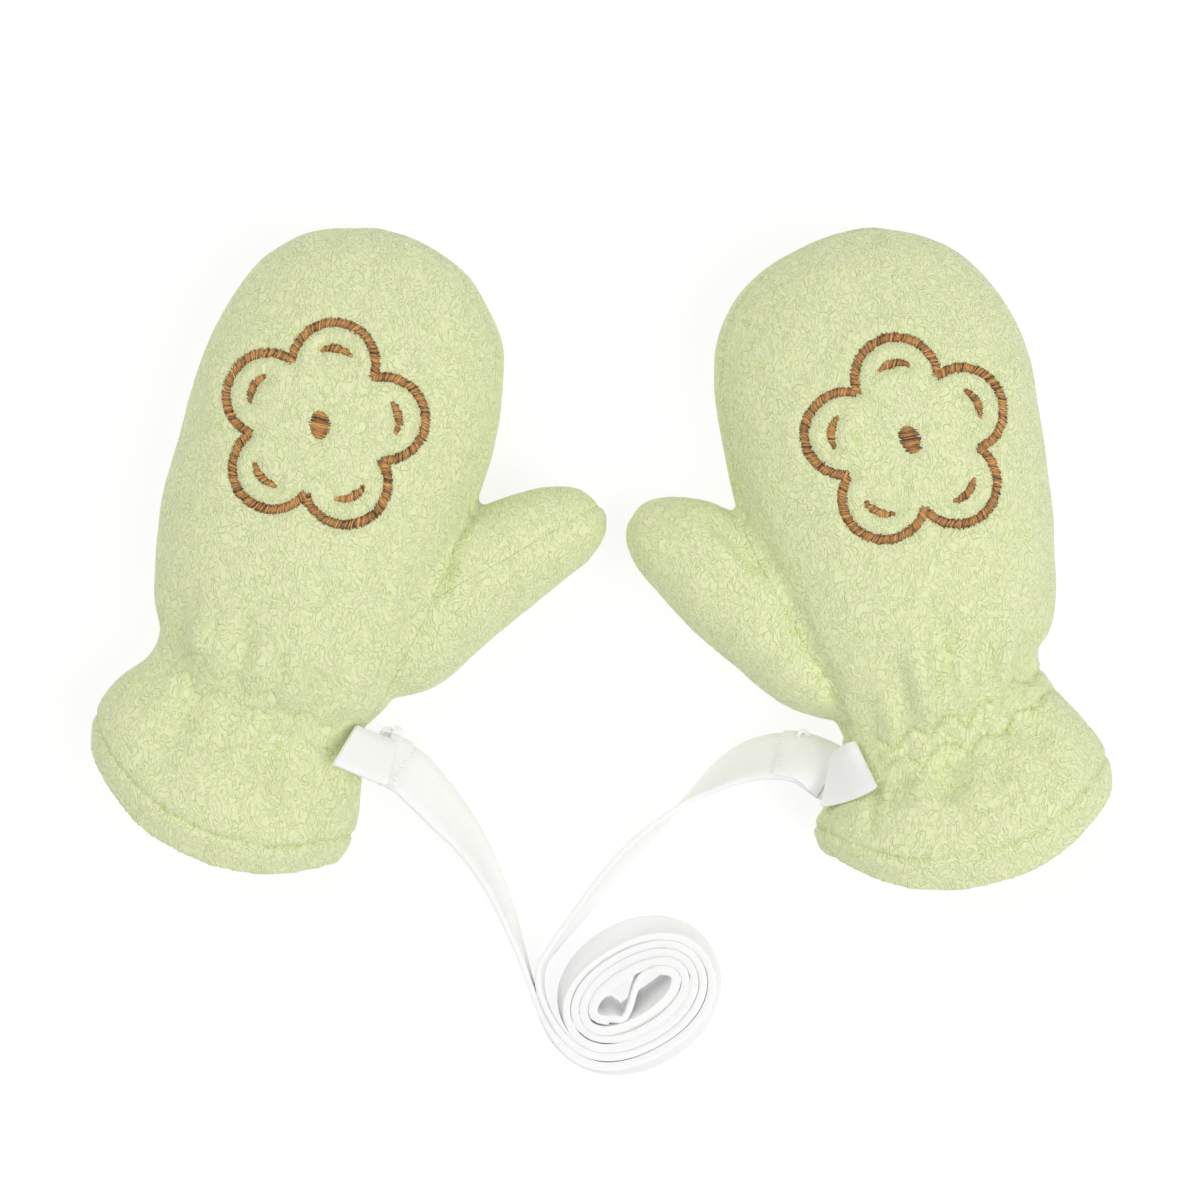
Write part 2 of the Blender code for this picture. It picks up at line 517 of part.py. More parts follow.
def roll(name, surface, segments=40):
    """The wound tape as one oval solid, a little narrower at the top."""
    turn = np.linspace(0.0, 2 * math.pi, segments, endpoint=False)
    lean = math.radians(ROLL_TURN)
    rings = []
    for height, inset in ((0.0, 0.6), (0.6, 0.0), (6.0, 0.6), (14.4, ROLL_TOP_INSET), (15.0, ROLL_TOP_INSET + 0.6)):
        x = (ROLL_HALF_LENGTH - inset) * power(np.cos(turn), 0.95)
        y = (ROLL_HALF_WIDTH - inset) * power(np.sin(turn), 0.95)
        rings.append(
            np.column_stack(
                [
                    ROLL_CENTRE[0] + x * math.cos(lean) - y * math.sin(lean),
                    ROLL_CENTRE[1] + x * math.sin(lean) + y * math.cos(lean),
                    np.full(segments, height),
                ]
            )
        )
    obj = solid_of_rings(name, rings, (*ROLL_CENTRE, 0.0), (*ROLL_CENTRE, 15.0))
    obj.data.materials.append(surface)
    obj.data.shade_smooth()
    obj.data.set_sharp_from_angle(angle=math.radians(40))
    return obj


def main():
    clear_scene()
    fleece = material("fleece", FLEECE, 0.95)
    tape = material("elastic_tape", TAPE, 0.7)
    mitten("L", LEFT_BODY, LEFT_THUMB, LEFT_FOLDS, LEFT_BACK_PLAN, [(LEFT_UPPER_PLAN, -20.0, 100.0)], fleece)
    mitten(
        "R", RIGHT_BODY, RIGHT_THUMB, RIGHT_FOLDS, RIGHT_BACK_PLAN,
        [(RIGHT_UPPER_PLAN, -20.0, 100.0), (RIGHT_THUMB_UNDER_PLAN, -21.0, RIGHT_THUMB_SPLIT)], fleece,
    )
    loop("L_tape_loop", LEFT_LOOP_START, LEFT_LOOP_HEADING, 1, tape)
    loop("R_tape_loop", RIGHT_LOOP_START, RIGHT_LOOP_HEADING, -1, tape)
    lead("strap_left", LEFT_LEAD, tape)
    lead("strap_right", RIGHT_LEAD, tape)
    roll("strap_roll", tape)


main()
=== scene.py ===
"""Looks of the pair of a small child's fleece mittens on one elastic tape.

Millimetres in the tables, metres in the scene. The forms come from the same
sections as the CAD nodes; the folds, gathers, seams and hem are added on them.
"""

import math

import bpy
import numpy as np
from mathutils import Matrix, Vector, noise
from mathutils.bvhtree import BVHTree
from mathutils.kdtree import KDTree


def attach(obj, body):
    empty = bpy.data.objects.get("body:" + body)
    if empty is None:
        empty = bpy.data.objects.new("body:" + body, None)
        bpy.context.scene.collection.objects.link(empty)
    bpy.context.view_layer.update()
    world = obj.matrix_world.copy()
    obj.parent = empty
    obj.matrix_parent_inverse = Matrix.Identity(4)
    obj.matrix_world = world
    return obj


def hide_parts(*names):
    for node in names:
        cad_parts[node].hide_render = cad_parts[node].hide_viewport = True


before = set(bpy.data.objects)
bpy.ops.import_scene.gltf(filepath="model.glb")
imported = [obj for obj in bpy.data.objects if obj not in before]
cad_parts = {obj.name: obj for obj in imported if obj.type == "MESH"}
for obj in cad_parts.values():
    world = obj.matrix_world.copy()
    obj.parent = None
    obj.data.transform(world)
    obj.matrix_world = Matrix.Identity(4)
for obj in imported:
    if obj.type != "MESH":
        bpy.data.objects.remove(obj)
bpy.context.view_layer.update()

MM = 0.001
VOXEL = 0.85  # size of the faces of the cloth
CLOTH = 2.5  # fleece with its pile
HEM_ROUND = 2.4  # radius of the folded hem
HEM_INSIDE = 9.5  # how far the hem reaches back inside the cuff
SEAM_HEIGHT = 21.0
SEAM_RISE = 0.14
RIGHT_THUMB_SPLIT = 14.6
GAP = 0.05  # between two panels at a seam

CAMERA = (-0.65, -10.8, 900.0)
PLANE = 18.0  # the picture's scale holds at this height: 0.26 mm for one of its 1200 units
UNIT = 0.26
PICTURE_ZERO = (602.5, 558.5)

# ---------------------------------------------------------------- the forms
BODY_COLUMNS = "section little_x little_y thumb_x thumb_y mid top low swell_top swell_low".split()
LEFT_BODY = [
    ("mouth", -132.5, -47.5, -69.0, -79.0, 17.0, 37.0, -3.0, 13.0, 8.0),
    ("hem_line", -131.5, -40.0, -65.0, -72.0, 18.0, 42.0, -4.0, 13.5, 8.0),
    ("cuff", -126.0, -31.5, -63.0, -61.5, 18.0, 42.0, -3.0, 10.5, 6.5),
    ("gather_low", -117.5, -24.5, -62.0, -51.5, 17.0, 37.5, -1.5, 7.5, 4.5),
    ("gather_high", -115.0, -19.0, -62.0, -44.5, 17.0, 37.5, -1.5, 7.0, 4.0),
    ("heel", -116.0, -11.0, -56.0, -38.5, 18.0, 42.5, -2.5, 5.5, 3.0),
    ("thumb_root", -116.0, -3.5, -49.0, -26.5, 19.0, 45.0, -3.5, 3.5, 2.0),
    ("crotch_low", -115.5, 6.0, -42.0, -12.0, 19.0, 46.5, -4.0, 2.0, 1.0),
    ("crotch", -114.5, 15.0, -37.5, -0.5, 19.0, 47.0, -4.0, 0.5, 0.0),
    ("palm", -111.0, 27.5, -33.0, 12.5, 19.0, 47.0, -4.0, 0.0, 0.0),
    ("knuckle", -107.0, 41.5, -28.5, 27.5, 19.0, 46.5, -4.0, 0.0, 0.0),
    ("finger_low", -102.5, 55.5, -26.0, 42.0, 19.0, 45.0, -3.5, 0.0, 0.0),
    ("finger", -96.5, 67.0, -26.0, 55.5, 18.5, 42.0, -2.5, 0.0, 0.0),
    ("tip_low", -88.5, 77.5, -30.0, 65.5, 18.0, 37.5, -0.5, 0.0, 0.0),
    ("tip", -79.5, 83.5, -36.5, 75.0, 17.5, 32.0, 4.0, 0.0, 0.0),
    ("tip_high", -71.5, 85.5, -47.0, 82.0, 17.5, 26.0, 9.5, 0.0, 0.0),
    ("end", -59.5, 86.1, -58.5, 86.1, 17.5, 17.9, 17.1, 0.0, 0.0),
]
RIGHT_BODY = [
    ("mouth", 132.5, -59.0, 56.5, -75.5, 17.0, 37.0, -3.0, 16.0, 9.0),
    ("hem_line", 131.0, -50.5, 55.0, -69.5, 18.0, 42.0, -4.0, 15.5, 8.5),
    ("cuff", 125.0, -41.5, 59.5, -61.5, 18.0, 42.0, -3.0, 11.0, 6.5),
    ("gather_low", 116.4, -32.0, 61.8, -54.5, 17.0, 37.5, -1.5, 7.0, 4.5),
    ("gather_high", 113.0, -26.5, 62.5, -47.5, 17.0, 37.5, -1.5, 6.0, 4.0),
    ("heel", 116.5, -16.5, 58.5, -39.0, 18.0, 42.5, -2.5, 5.0, 3.0),
    ("thumb_root", 117.5, -8.0, 51.0, -27.0, 19.0, 45.0, -3.5, 3.5, 2.0),
    ("crotch_low", 117.0, 2.0, 44.0, -12.0, 19.0, 46.5, -4.0, 2.0, 1.0),
    ("crotch", 116.5, 13.0, 39.0, 1.0, 19.0, 47.0, -4.0, 0.5, 0.0),
    ("palm", 115.0, 25.5, 34.5, 15.0, 19.0, 47.0, -4.0, 0.0, 0.0),
    ("knuckle", 113.0, 40.0, 31.0, 31.0, 19.0, 46.5, -4.0, 0.0, 0.0),
    ("finger_low", 111.0, 50.5, 29.0, 45.0, 19.0, 45.0, -3.5, 0.0, 0.0),
    ("finger", 107.5, 60.5, 30.0, 57.0, 18.5, 42.0, -2.5, 0.0, 0.0),
    ("tip_low", 101.0, 71.0, 34.5, 67.5, 18.0, 37.5, -0.5, 0.0, 0.0),
    ("tip", 91.5, 80.0, 45.0, 77.0, 17.5, 32.0, 4.0, 0.0, 0.0),
    ("tip_high", 82.5, 84.0, 55.0, 82.5, 17.5, 26.0, 9.5, 0.0, 0.0),
    ("end", 69.5, 86.1, 68.5, 86.1, 17.5, 17.9, 17.1, 0.0, 0.0),
]
THUMB_COLUMNS = "section upper_x upper_y lower_x lower_y mid top low".split()
LEFT_THUMB = [
    ("root", -58.5, -4.0, -66.0, -38.0, 17.0, 33.0, 1.5),
    ("web", -46.0, 6.0, -43.0, -33.0, 17.0, 34.5, -0.5),
    ("crotch", -37.5, 11.5, -30.7, -22.5, 17.0, 34.5, -1.0),
    ("ball", -30.0, 14.5, -20.1, -14.0, 17.0, 33.0, -0.5),
    ("middle", -22.0, 17.0, -11.0, -6.3, 16.5, 31.0, 0.5),
    ("pad", -14.0, 18.5, -3.0, 0.0, 16.0, 28.0, 3.0),
    ("tip", -6.5, 18.0, 0.5, 6.0, 16.0, 24.0, 7.5),
    ("end", 0.2, 13.0, 0.9, 12.0, 16.0, 16.4, 15.6),
]
RIGHT_THUMB = [
    ("root", 59.0, -8.0, 66.0, -43.5, 17.0, 33.0, 1.5),
    ("web", 47.5, 3.5, 48.0, -38.5, 17.0, 34.5, -0.5),
    ("crotch", 39.0, 10.0, 34.0, -27.5, 17.0, 34.5, -1.0),
    ("ball", 31.0, 13.5, 23.0, -18.0, 17.0, 33.0, -0.5),
    ("middle", 24.0, 15.5, 14.5, -9.0, 16.5, 31.0, 0.5),
    ("pad", 17.0, 16.0, 9.0, -2.0, 16.0, 28.0, 3.0),
    ("tip", 11.0, 14.5, 7.0, 2.5, 16.0, 24.0, 7.5),
    ("end", 6.4, 8.5, 6.1, 7.5, 16.0, 16.4, 15.6),
]
LEFT_FOLDS = [
    ("valley_little", 5.2, 48.0, 1.0, 12.0, 2.0),
    ("valley_crown", 5.4, 84.0, 1.2, 13.0, 1.9),
    ("valley_thumb", 5.2, 121.0, 0.9, 12.0, 1.6),
    ("lobe_little", 5.0, 66.0, 0.8, 9.0, -1.4),
    ("lobe_crown", 5.0, 103.0, 0.8, 9.0, -1.2),
    ("cuff_valley", 2.7, 68.0, 1.0, 11.0, 2.4),
    ("cuff_valley_thumb", 2.8, 110.0, 0.9, 11.0, 2.0),
    ("palm_valley", 4.6, 262.0, 1.0, 14.0, 2.2),
]
RIGHT_FOLDS = [
    ("valley_little", 5.1, 44.0, 0.9, 12.0, 1.3),
    ("valley_crown", 5.6, 78.0, 1.4, 14.0, 2.6),
    ("valley_thumb", 5.2, 117.0, 1.0, 12.0, 1.1),
    ("lobe_little", 5.0, 61.0, 0.8, 9.0, -1.2),
    ("lobe_crown", 5.1, 98.0, 0.8, 9.0, -1.4),
    ("cuff_valley", 2.8, 58.0, 1.0, 11.0, 2.4),
    ("cuff_valley_crown", 2.7, 95.0, 1.0, 11.0, 2.4),
    ("palm_valley", 4.6, 278.0, 1.0, 14.0, 2.2),
]
LEFT_BACK_PLAN = [
    (-160, -110), (-46, -110), (-46, -50), (-62, -44.5), (-55.5, -36), (-50.5, -26), (-46, -17), (-42, -7),
    (-38, 3.5), (-31, 14), (-25, 22), (-8, 42), (-8, 110), (-160, 110),
]
RIGHT_BACK_PLAN = [
    (160, -110), (160, 110), (10, 110), (10, 40), (27, 22), (34, 12.5), (39, 3), (43, -6), (51, -21),
    (58.5, -34), (63, -43), (48, -50), (42, -60), (42, -110),
]
LEFT_UPPER_PLAN = [(-150, -8), (-78.5, -12), (-45, -11.5), (-21.5, 1.5), (2.5, 16), (14, 23), (14, 110), (-150, 110)]
RIGHT_UPPER_PLAN = [(150, -8), (150, 110), (8, 110), (8, 42), (26, 21.5), (33, 12), (38, 3), (43, -6), (62, -9)]
RIGHT_THUMB_UNDER_PLAN = [(92, -8.5), (70, 14), (30, 40), (-6, 34), (-6, -46), (44, -46), (58, -28)]

# ------------------------------------------------- folds seen in the picture
# Each line is a run of points (right, down) in the picture's 1200 units, then
# half width and depth in mm; a ridge has a negative depth. A crease may end
# with how much painted shade it gets.
LEFT_STITCHES = [
    # the two gathering seams: short level runs with a step down after each
    ([(158, 667), (166, 660), (174, 657), (185, 657), (197, 655), (203, 661), (208, 674), (214, 679), (224, 678),
      (233, 675), (240, 683), (246, 694), (256, 697), (268, 693), (275, 700), (282, 712), (292, 717), (305, 714),
      (312, 716), (320, 726), (331, 728), (345, 722)], 0.75, 0.85),
    ([(148, 684), (158, 676), (171, 673), (188, 672), (191, 683), (197, 695), (209, 694), (222, 692), (228, 704),
      (234, 717), (245, 713), (258, 710), (267, 719), (278, 734), (290, 735), (301, 732), (309, 741), (319, 749),
      (330, 748), (341, 743)], 0.75, 0.95),
]
RIGHT_STITCHES = [
    ([(861, 738), (870, 738), (880, 742), (892, 747), (903, 738), (911, 729), (921, 733), (931, 737), (937, 730),
      (946, 718), (956, 719), (967, 724), (974, 715), (983, 703), (992, 702), (1001, 704), (1008, 692),
      (1015, 681), (1024, 682), (1032, 681), (1038, 672), (1046, 664), (1056, 664)], 0.8, 1.25),
    ([(872, 764), (885, 765), (892, 760), (903, 756), (912, 760), (922, 767), (931, 756), (940, 745), (950, 745),
      (958, 747), (968, 753), (979, 738), (987, 733), (997, 735), (1007, 731), (1012, 719), (1019, 710),
      (1028, 709), (1036, 706), (1043, 696), (1050, 690), (1062, 689)], 0.8, 1.25),
]
LEFT_CREASES = [
    # above the gathers: valleys between the lobes, then the lobes themselves
    ([(203, 664), (206, 648), (214, 628), (226, 604)], 2.4, 1.7),
    ([(241, 686), (240, 664), (246, 640), (256, 612)], 2.8, 2.3),
    ([(277, 706), (274, 688), (279, 664), (290, 640)], 2.4, 1.7),
    ([(314, 722), (311, 706), (317, 686), (329, 664)], 2.2, 1.5),
    ([(178, 660), (180, 642), (186, 622)], 2.0, 1.2),
    ([(191, 656), (193, 640), (199, 618)], 2.2, -1.3),
    ([(224, 677), (223, 658), (230, 630), (240, 604)], 2.6, -1.6),
    ([(258, 696), (257, 676), (262, 650), (272, 620)], 2.6, -1.5),
    ([(295, 716), (292, 696), (298, 672), (308, 650)], 2.3, -1.2),
    # between the two seams
    ([(200, 668), (193, 686)], 1.4, 1.1),
    ([(238, 684), (231, 706)], 1.5, 1.3),
    ([(273, 704), (270, 722)], 1.4, 1.1),
    ([(311, 722), (308, 738)], 1.3, 1.0),
    ([(183, 658), (180, 672)], 1.6, -0.9),
    ([(222, 679), (212, 693)], 1.8, -1.1),
    ([(256, 697), (248, 711)], 1.8, -1.1),
    ([(295, 716), (289, 733)], 1.7, -0.9),
    # below: fans that run out into the cuff
    ([(190, 680), (184, 700), (172, 726)], 2.2, 1.5),
    ([(229, 704), (224, 728), (214, 758)], 2.4, 1.8),
    ([(268, 722), (266, 746), (259, 776)], 2.4, 1.6),
    ([(308, 744), (309, 764), (306, 788)], 2.2, 1.2),
    ([(158, 678), (148, 692), (134, 712)], 2.0, 1.1),
    ([(180, 675), (168, 696), (155, 716)], 2.6, -1.2),
    ([(211, 696), (203, 722), (192, 752)], 2.6, -1.3),
    ([(249, 714), (244, 742), (237, 772)], 2.6, -1.2),
    ([(289, 737), (289, 760), (284, 786)], 2.4, -1.0),
    # the seam end under the tape, and the soft valley along the thumb's root
    ([(340, 768), (341, 786), (344, 812), (346, 836)], 1.3, 1.2),
    ([(330, 760), (334, 772), (341, 786)], 1.2, 0.7),
    ([(441, 590), (433, 612), (422, 640), (408, 668), (392, 696)], 3.4, 1.6),
    # the crotch's pocket, with strong painted shade
    ([(457, 546), (448, 572), (438, 600)], 2.0, 4.0, 0.30),
]
RIGHT_CREASES = [
    ([(909, 727), (905, 706), (898, 676), (892, 646)], 2.3, 0.9),
    ([(944, 720), (944, 694), (943, 664), (940, 628), (936, 588)], 3.0, 3.0),
    ([(981, 702), (984, 682), (987, 656), (986, 628)], 2.4, 1.7),
    ([(1012, 684), (1018, 666), (1026, 644), (1034, 622)], 2.2, 1.6),
    ([(1040, 668), (1045, 654), (1050, 640)], 1.8, 1.1),
    ([(878, 740), (872, 718), (862, 692)], 2.4, 1.3),
    ([(893, 744), (888, 720), (880, 690)], 2.4, -1.2),
    ([(929, 735), (925, 706), (919, 668), (915, 628)], 2.7, -1.9),
    ([(965, 721), (966, 698), (966, 664), (962, 626)], 2.6, -1.8),
    ([(1000, 701), (1004, 682), (1010, 656), (1014, 632)], 2.2, -1.3),
    ([(1029, 680), (1034, 664), (1041, 646)], 1.9, -1.0),
    ([(908, 732), (906, 756)], 1.4, 1.0),
    ([(945, 721), (944, 744)], 1.6, 1.3),
    ([(981, 706), (988, 732)], 1.5, 1.2),
    ([(1012, 686), (1020, 708)], 1.4, 1.0),
    ([(890, 749), (890, 762)], 1.8, -0.9),
    ([(929, 738), (922, 764)], 1.9, -1.2),
    ([(966, 725), (968, 750)], 1.9, -1.2),
    ([(999, 705), (1006, 729)], 1.7, -1.0),
    ([(905, 760), (899, 784), (892, 812)], 2.3, 1.4),
    ([(943, 748), (946, 776), (950, 808)], 2.5, 1.9),
    ([(988, 736), (1000, 760), (1014, 786)], 2.4, 1.7),
    ([(1020, 712), (1036, 730), (1052, 746)], 2.2, 1.3),
    ([(922, 768), (921, 796), (920, 822)], 2.6, -1.2),
    ([(968, 755), (976, 782), (984, 810)], 2.6, -1.3),
    ([(1006, 733), (1020, 754), (1036, 774)], 2.4, -1.1),
    ([(884, 768), (876, 790), (871, 816), (873, 846)], 1.4, 1.3),
    # this crease gets weaker painted shade than the usual 0.20
    ([(700, 508), (726, 528), (750, 556), (771, 582)], 2.2, 3.0, 0.12),
    ([(771, 582), (790, 618), (806, 652), (828, 686), (852, 716)], 3.2, 1.7),
]
# Hidden sides. Millimetres round the section (0.45 for each degree) and along it
# from the lower gathering seam towards the fingers.
HIDDEN_LINES = [
    [(78, -0.6), (83, 0.9), (88, -0.8), (93, 1.0), (99, -0.7), (103, 0.8), (109, -1.0), (114, 0.6), (119, -0.9),
     (125, 1.1), (130, -0.6), (135, 0.9), (141, -1.0), (146, 0.7), (151, -0.7), (156, 1.0), (162, -0.5), (167, 0.5)],
    [(78, 6.0), (84, 7.3), (89, 5.6), (94, 7.0), (100, 5.4), (104, 6.9), (110, 5.5), (115, 7.2), (120, 5.7),
     (126, 7.1), (131, 5.3), (136, 6.9), (142, 5.6), (147, 7.0), (152, 5.4), (157, 7.1), (162, 5.8), (167, 6.5)],
]
HIDDEN_CREASES = [
    ([(83, 8), (84, 16), (86, 24)], 2.2, 1.6), ([(94, 8), (93, 18), (90, 30)], 2.6, 2.2),
    ([(104, 8), (106, 15), (108, 21)], 2.0, 1.3), ([(115, 8), (114, 19), (112, 33)], 2.7, 2.3),
    ([(126, 8), (128, 17), (131, 27)], 2.4, 1.8), ([(136, 8), (136, 14), (138, 20)], 2.0, 1.3),
    ([(147, 8), (145, 18), (144, 30)], 2.6, 2.0), ([(157, 8), (158, 15), (160, 23)], 2.1, 1.5),
    ([(84, 5), (83, 1)], 1.5, 1.1), ([(94, 5), (93, 1)], 1.5, 1.2), ([(104, 5), (103, 1)], 1.4, 0.9),
    ([(115, 5), (114, 1)], 1.6, 1.2), ([(126, 5), (125, 1)], 1.5, 1.1), ([(136, 5), (135, 1)], 1.4, 0.9),
    ([(147, 5), (146, 1)], 1.5, 1.1), ([(157, 5), (156, 1)], 1.4, 1.0),
    ([(83, -2), (81, -9), (78, -16)], 2.2, 1.3), ([(93, -2), (92, -12), (90, -22)], 2.5, 1.7),
    ([(104, -2), (105, -8), (107, -14)], 2.0, 1.1), ([(114, -2), (113, -12), (110, -23)], 2.6, 1.8),
    ([(125, -2), (127, -10), (130, -18)], 2.3, 1.4), ([(135, -2), (135, -8), (137, -13)], 2.0, 1.0),
    ([(146, -2), (147, -12), (149, -22)], 2.5, 1.6), ([(156, -2), (158, -9), (161, -15)], 2.1, 1.2),
]

# ------------------------------------------------------------------ the tape
TAPE_WIDTH = 15.0
LEFT_LEAD = [
    (-57.5, -51.6, 20.5, 39.0), (-56.3, -52.1, 19.6, 39.0), (-53.2, -53.7, 17.9, 40.0), (-50.6, -55.5, 17.0, 41.0), (-47.0, -59.2, 15.0, 44.0), (-41.5, -65.5, 12.2, 50.0),
    (-35.0, -73.7, 9.8, 62.0), (-28.8, -84.5, 8.5, 74.0), (-24.0, -96.0, 8.1, 82.0), (-20.9, -105.0, 7.9, 88.0),
    (-19.2, -110.5, 7.9, 90.0),
]
RIGHT_LEAD = [
    (61.0, -56.4, 21.6, -8.0), (59.2, -55.7, 20.0, -14.0), (56.0, -53.9, 18.4, -27.0), (52.4, -52.3, 17.0, -36.0), (49.0, -51.6, 16.0, -40.0), (44.5, -51.6, 14.4, -46.0), (35.5, -54.0, 11.2, -60.0),
    (29.0, -58.0, 9.2, -74.0), (23.5, -62.3, 8.1, -87.0), (17.0, -68.0, 8.0, -98.0), (10.0, -74.3, 8.0, -104.0),
    (2.5, -82.3, 8.0, -105.0), (-5.0, -92.0, 8.0, -104.0), (-11.2, -99.9, 8.0, -100.0), (-15.0, -105.0, 8.0, -97.0),
]
# The short tapes: where their middle shows in the picture, height, tilt, and the way they run.
LEFT_TAB = [
    (345, 745, 33.2, 40, -29), (352, 748, 31.6, 40, -27), (362, 752, 29.0, 40, -23), (374, 757, 25.9, 39, -17),
    (385, 761, 23.1, 38, -11), (390, 762.5, 22.0, 38, -8),
]
LEFT_TAB_LOWER = [(367, 751, 21.4, 39, -18), (375, 755, 19.4, 39, -14), (384, 759, 17.2, 38, -10), (391, 761, 15.6, 38, -8)]
LEFT_TAB_FOLDS = [
    ([(381, 737), (382.5, 731.5), (386.5, 728.6), (390.2, 729.6), (391.9, 731.2), (393.6, 729.9), (397, 728), (400.4, 730.8), (402, 736.5)], 2.2, 17.6),
]
RIGHT_TAB = [
    (866, 764, 33.4, -30, 204), (858, 768, 32.4, -20, 198), (849, 772, 30.4, -12, 190), (840, 776, 27.8, -8, 181),
    (831, 779, 25.2, -7, 171), (827.5, 780, 24.2, -8, 168),
]
RIGHT_TAB_LOWER = [(843, 776, 20.6, 4, 172), (838, 776, 19.4, 6, 169), (832, 777, 17.8, 10, 166), (828, 777, 16.8, 12, 164)]
RIGHT_TAB_FOLDS = [([(797.5, 736.5), (799.5, 732.6), (804.3, 730.8), (807.8, 734.2), (810, 739.5)], 2.0, 13.6)]
DOUBLED = (7.4, 17.4)  # how far the strap's end is turned back and sewn down
MIDDLE = [(7.4, 3.6), (3.9, 3.4), (0.6, 0.9), (-2.4, -2.2), (-5.4, -4.2)]
ROLL_CENTRE = (8.3, -113.9)
ROLL_TURN = 28.0
ROLL_HALF = (26.1, 22.7)
ROLL_PITCH = (2.62, 3.28)


# ------------------------------------------------------------------- helpers
def through(stations, values, at):
    """Smooth curve through the table's rows: a Catmull-Rom spline with uneven spacing."""
    stations, values, at = np.asarray(stations), np.asarray(values, float), np.asarray(at, float)
    slope = np.empty_like(values)
    step = np.diff(stations)[:, None]
    rate = np.diff(values, axis=0) / step
    slope[1:-1] = (rate[:-1] * step[1:] + rate[1:] * step[:-1]) / (step[1:] + step[:-1])
    slope[0], slope[-1] = rate[0], rate[-1]
    i = np.clip(np.searchsorted(stations, at, side="right") - 1, 0, len(stations) - 2)
    h = (stations[i + 1] - stations[i])[:, None]
    t = ((at - stations[i])[:, None]) / h
    return (
        (2 * t**3 - 3 * t**2 + 1) * values[i]
        + (t**3 - 2 * t**2 + t) * h * slope[i]
        + (3 * t**2 - 2 * t**3) * values[i + 1]
        + (t**3 - t**2) * h * slope[i + 1]
    )


def power(value, exponent):
    return np.sign(value) * np.abs(value) ** exponent


def ease(value, low, high):
    """0 under low, 1 over high, smooth between."""
    t = np.clip((value - low) / (high - low), 0.0, 1.0)
    return t * t * (3 - 2 * t)


def normals_of_rings(points):
    along = np.gradient(points, axis=0)
    around = np.roll(points, -1, axis=1) - np.roll(points, 1, axis=1)
    n = np.cross(around, along)
    n /= np.maximum(np.linalg.norm(n, axis=2, keepdims=True), 1e-9)
    centre = points.mean(axis=1, keepdims=True)
    return n * np.where(((points - centre) * n).sum(axis=(1, 2)) < 0, -1.0, 1.0)[:, None, None]


def skin(columns, table, pitch, segments, floor, folds=(), first=0.0):
    """Rings of points of the form, with the number of the row and the turn in degrees of each."""
    data = {name: np.array([row[k] for row in table], float) for k, name in enumerate(columns) if k}
    side = [c for c in columns if c.endswith("_x")]
    one = np.stack([data[side[0]], data[side[0][:-1] + "y"]], 1)
    two = np.stack([data[side[1]], data[side[1][:-1] + "y"]], 1)
    centre = (one + two) / 2
    half = np.linalg.norm(two - one, axis=1) / 2
    rise = (data["top"] - data["low"]) / 2
    step = np.sqrt((np.diff(centre, axis=0) ** 2).sum(1) + np.diff(half) ** 2 + 0.3 * np.diff(rise) ** 2)
    length = np.concatenate([[0.0], np.cumsum(step)])
    start = np.interp(first, np.arange(len(table)), length)
    at = np.linspace(start, length[-1], int((length[-1] - start) / pitch))
    swell = [data.get("swell_top", np.zeros(len(table))), data.get("swell_low", np.zeros(len(table)))]
    values = np.column_stack([one, two, data["mid"], data["top"], data["low"], *swell, np.arange(len(table))])
    v = through(length, values, at)
    row = np.interp(at, length, np.arange(len(table)))[:, None]
    turn = np.linspace(0.0, 2 * math.pi, segments, endpoint=False)[None, :]
    a, b = v[:, 0:2], v[:, 2:4]
    centre, half = (a + b) / 2, np.linalg.norm(b - a, axis=1)[:, None] / 2
    across = (b - a) / (2 * half)
    out = np.stack([across[:, 1], -across[:, 0]], 1)
    if out[0] @ (centre[0] - centre[-1]) < 0:
        out = -out
    mid, top, low = v[:, 4:5], v[:, 5:6], v[:, 6:7]
    c, s = -np.cos(turn), np.sin(turn)
    flat = power(c, 2 / 2.25) * half
    high = np.where(s >= 0, mid + (top - mid) * power(np.abs(s), 2 / 2.2), mid - (mid - low) * power(np.abs(s), 2 / 2.3))
    bow = np.where(s >= 0, v[:, 7:8], v[:, 8:9]) * s**2
    points = np.empty((len(at), segments, 3))
    points[..., 0] = centre[:, 0:1] + across[:, 0:1] * flat + out[:, 0:1] * bow
    points[..., 1] = centre[:, 1:2] + across[:, 1:2] * flat + out[:, 1:2] * bow
    points[..., 2] = high
    degrees = np.degrees(turn)
    if folds:
        depth = np.zeros(np.broadcast(row, degrees).shape)
        for _, along, where, run, span, size in folds:
            depth += size * np.exp(-(((row - along) / run) ** 2) - ((degrees - where) / span) ** 2)
        points -= depth[..., None] * normals_of_rings(points)
    points[..., 2] = np.maximum(points[..., 2], floor)
    shape = points.shape[:2]
    return points, np.broadcast_to(row, shape), np.broadcast_to(degrees, shape), out


def faces_of_rings(rings, segments, base=0):
    """Quads between rings of points, as index arrays."""
    i = np.arange(rings - 1)[:, None] * segments + base
    k = np.arange(segments)[None, :]
    n = (k + 1) % segments
    return np.stack([i + k, i + n, i + segments + n, i + segments + k], -1).reshape(-1, 4)


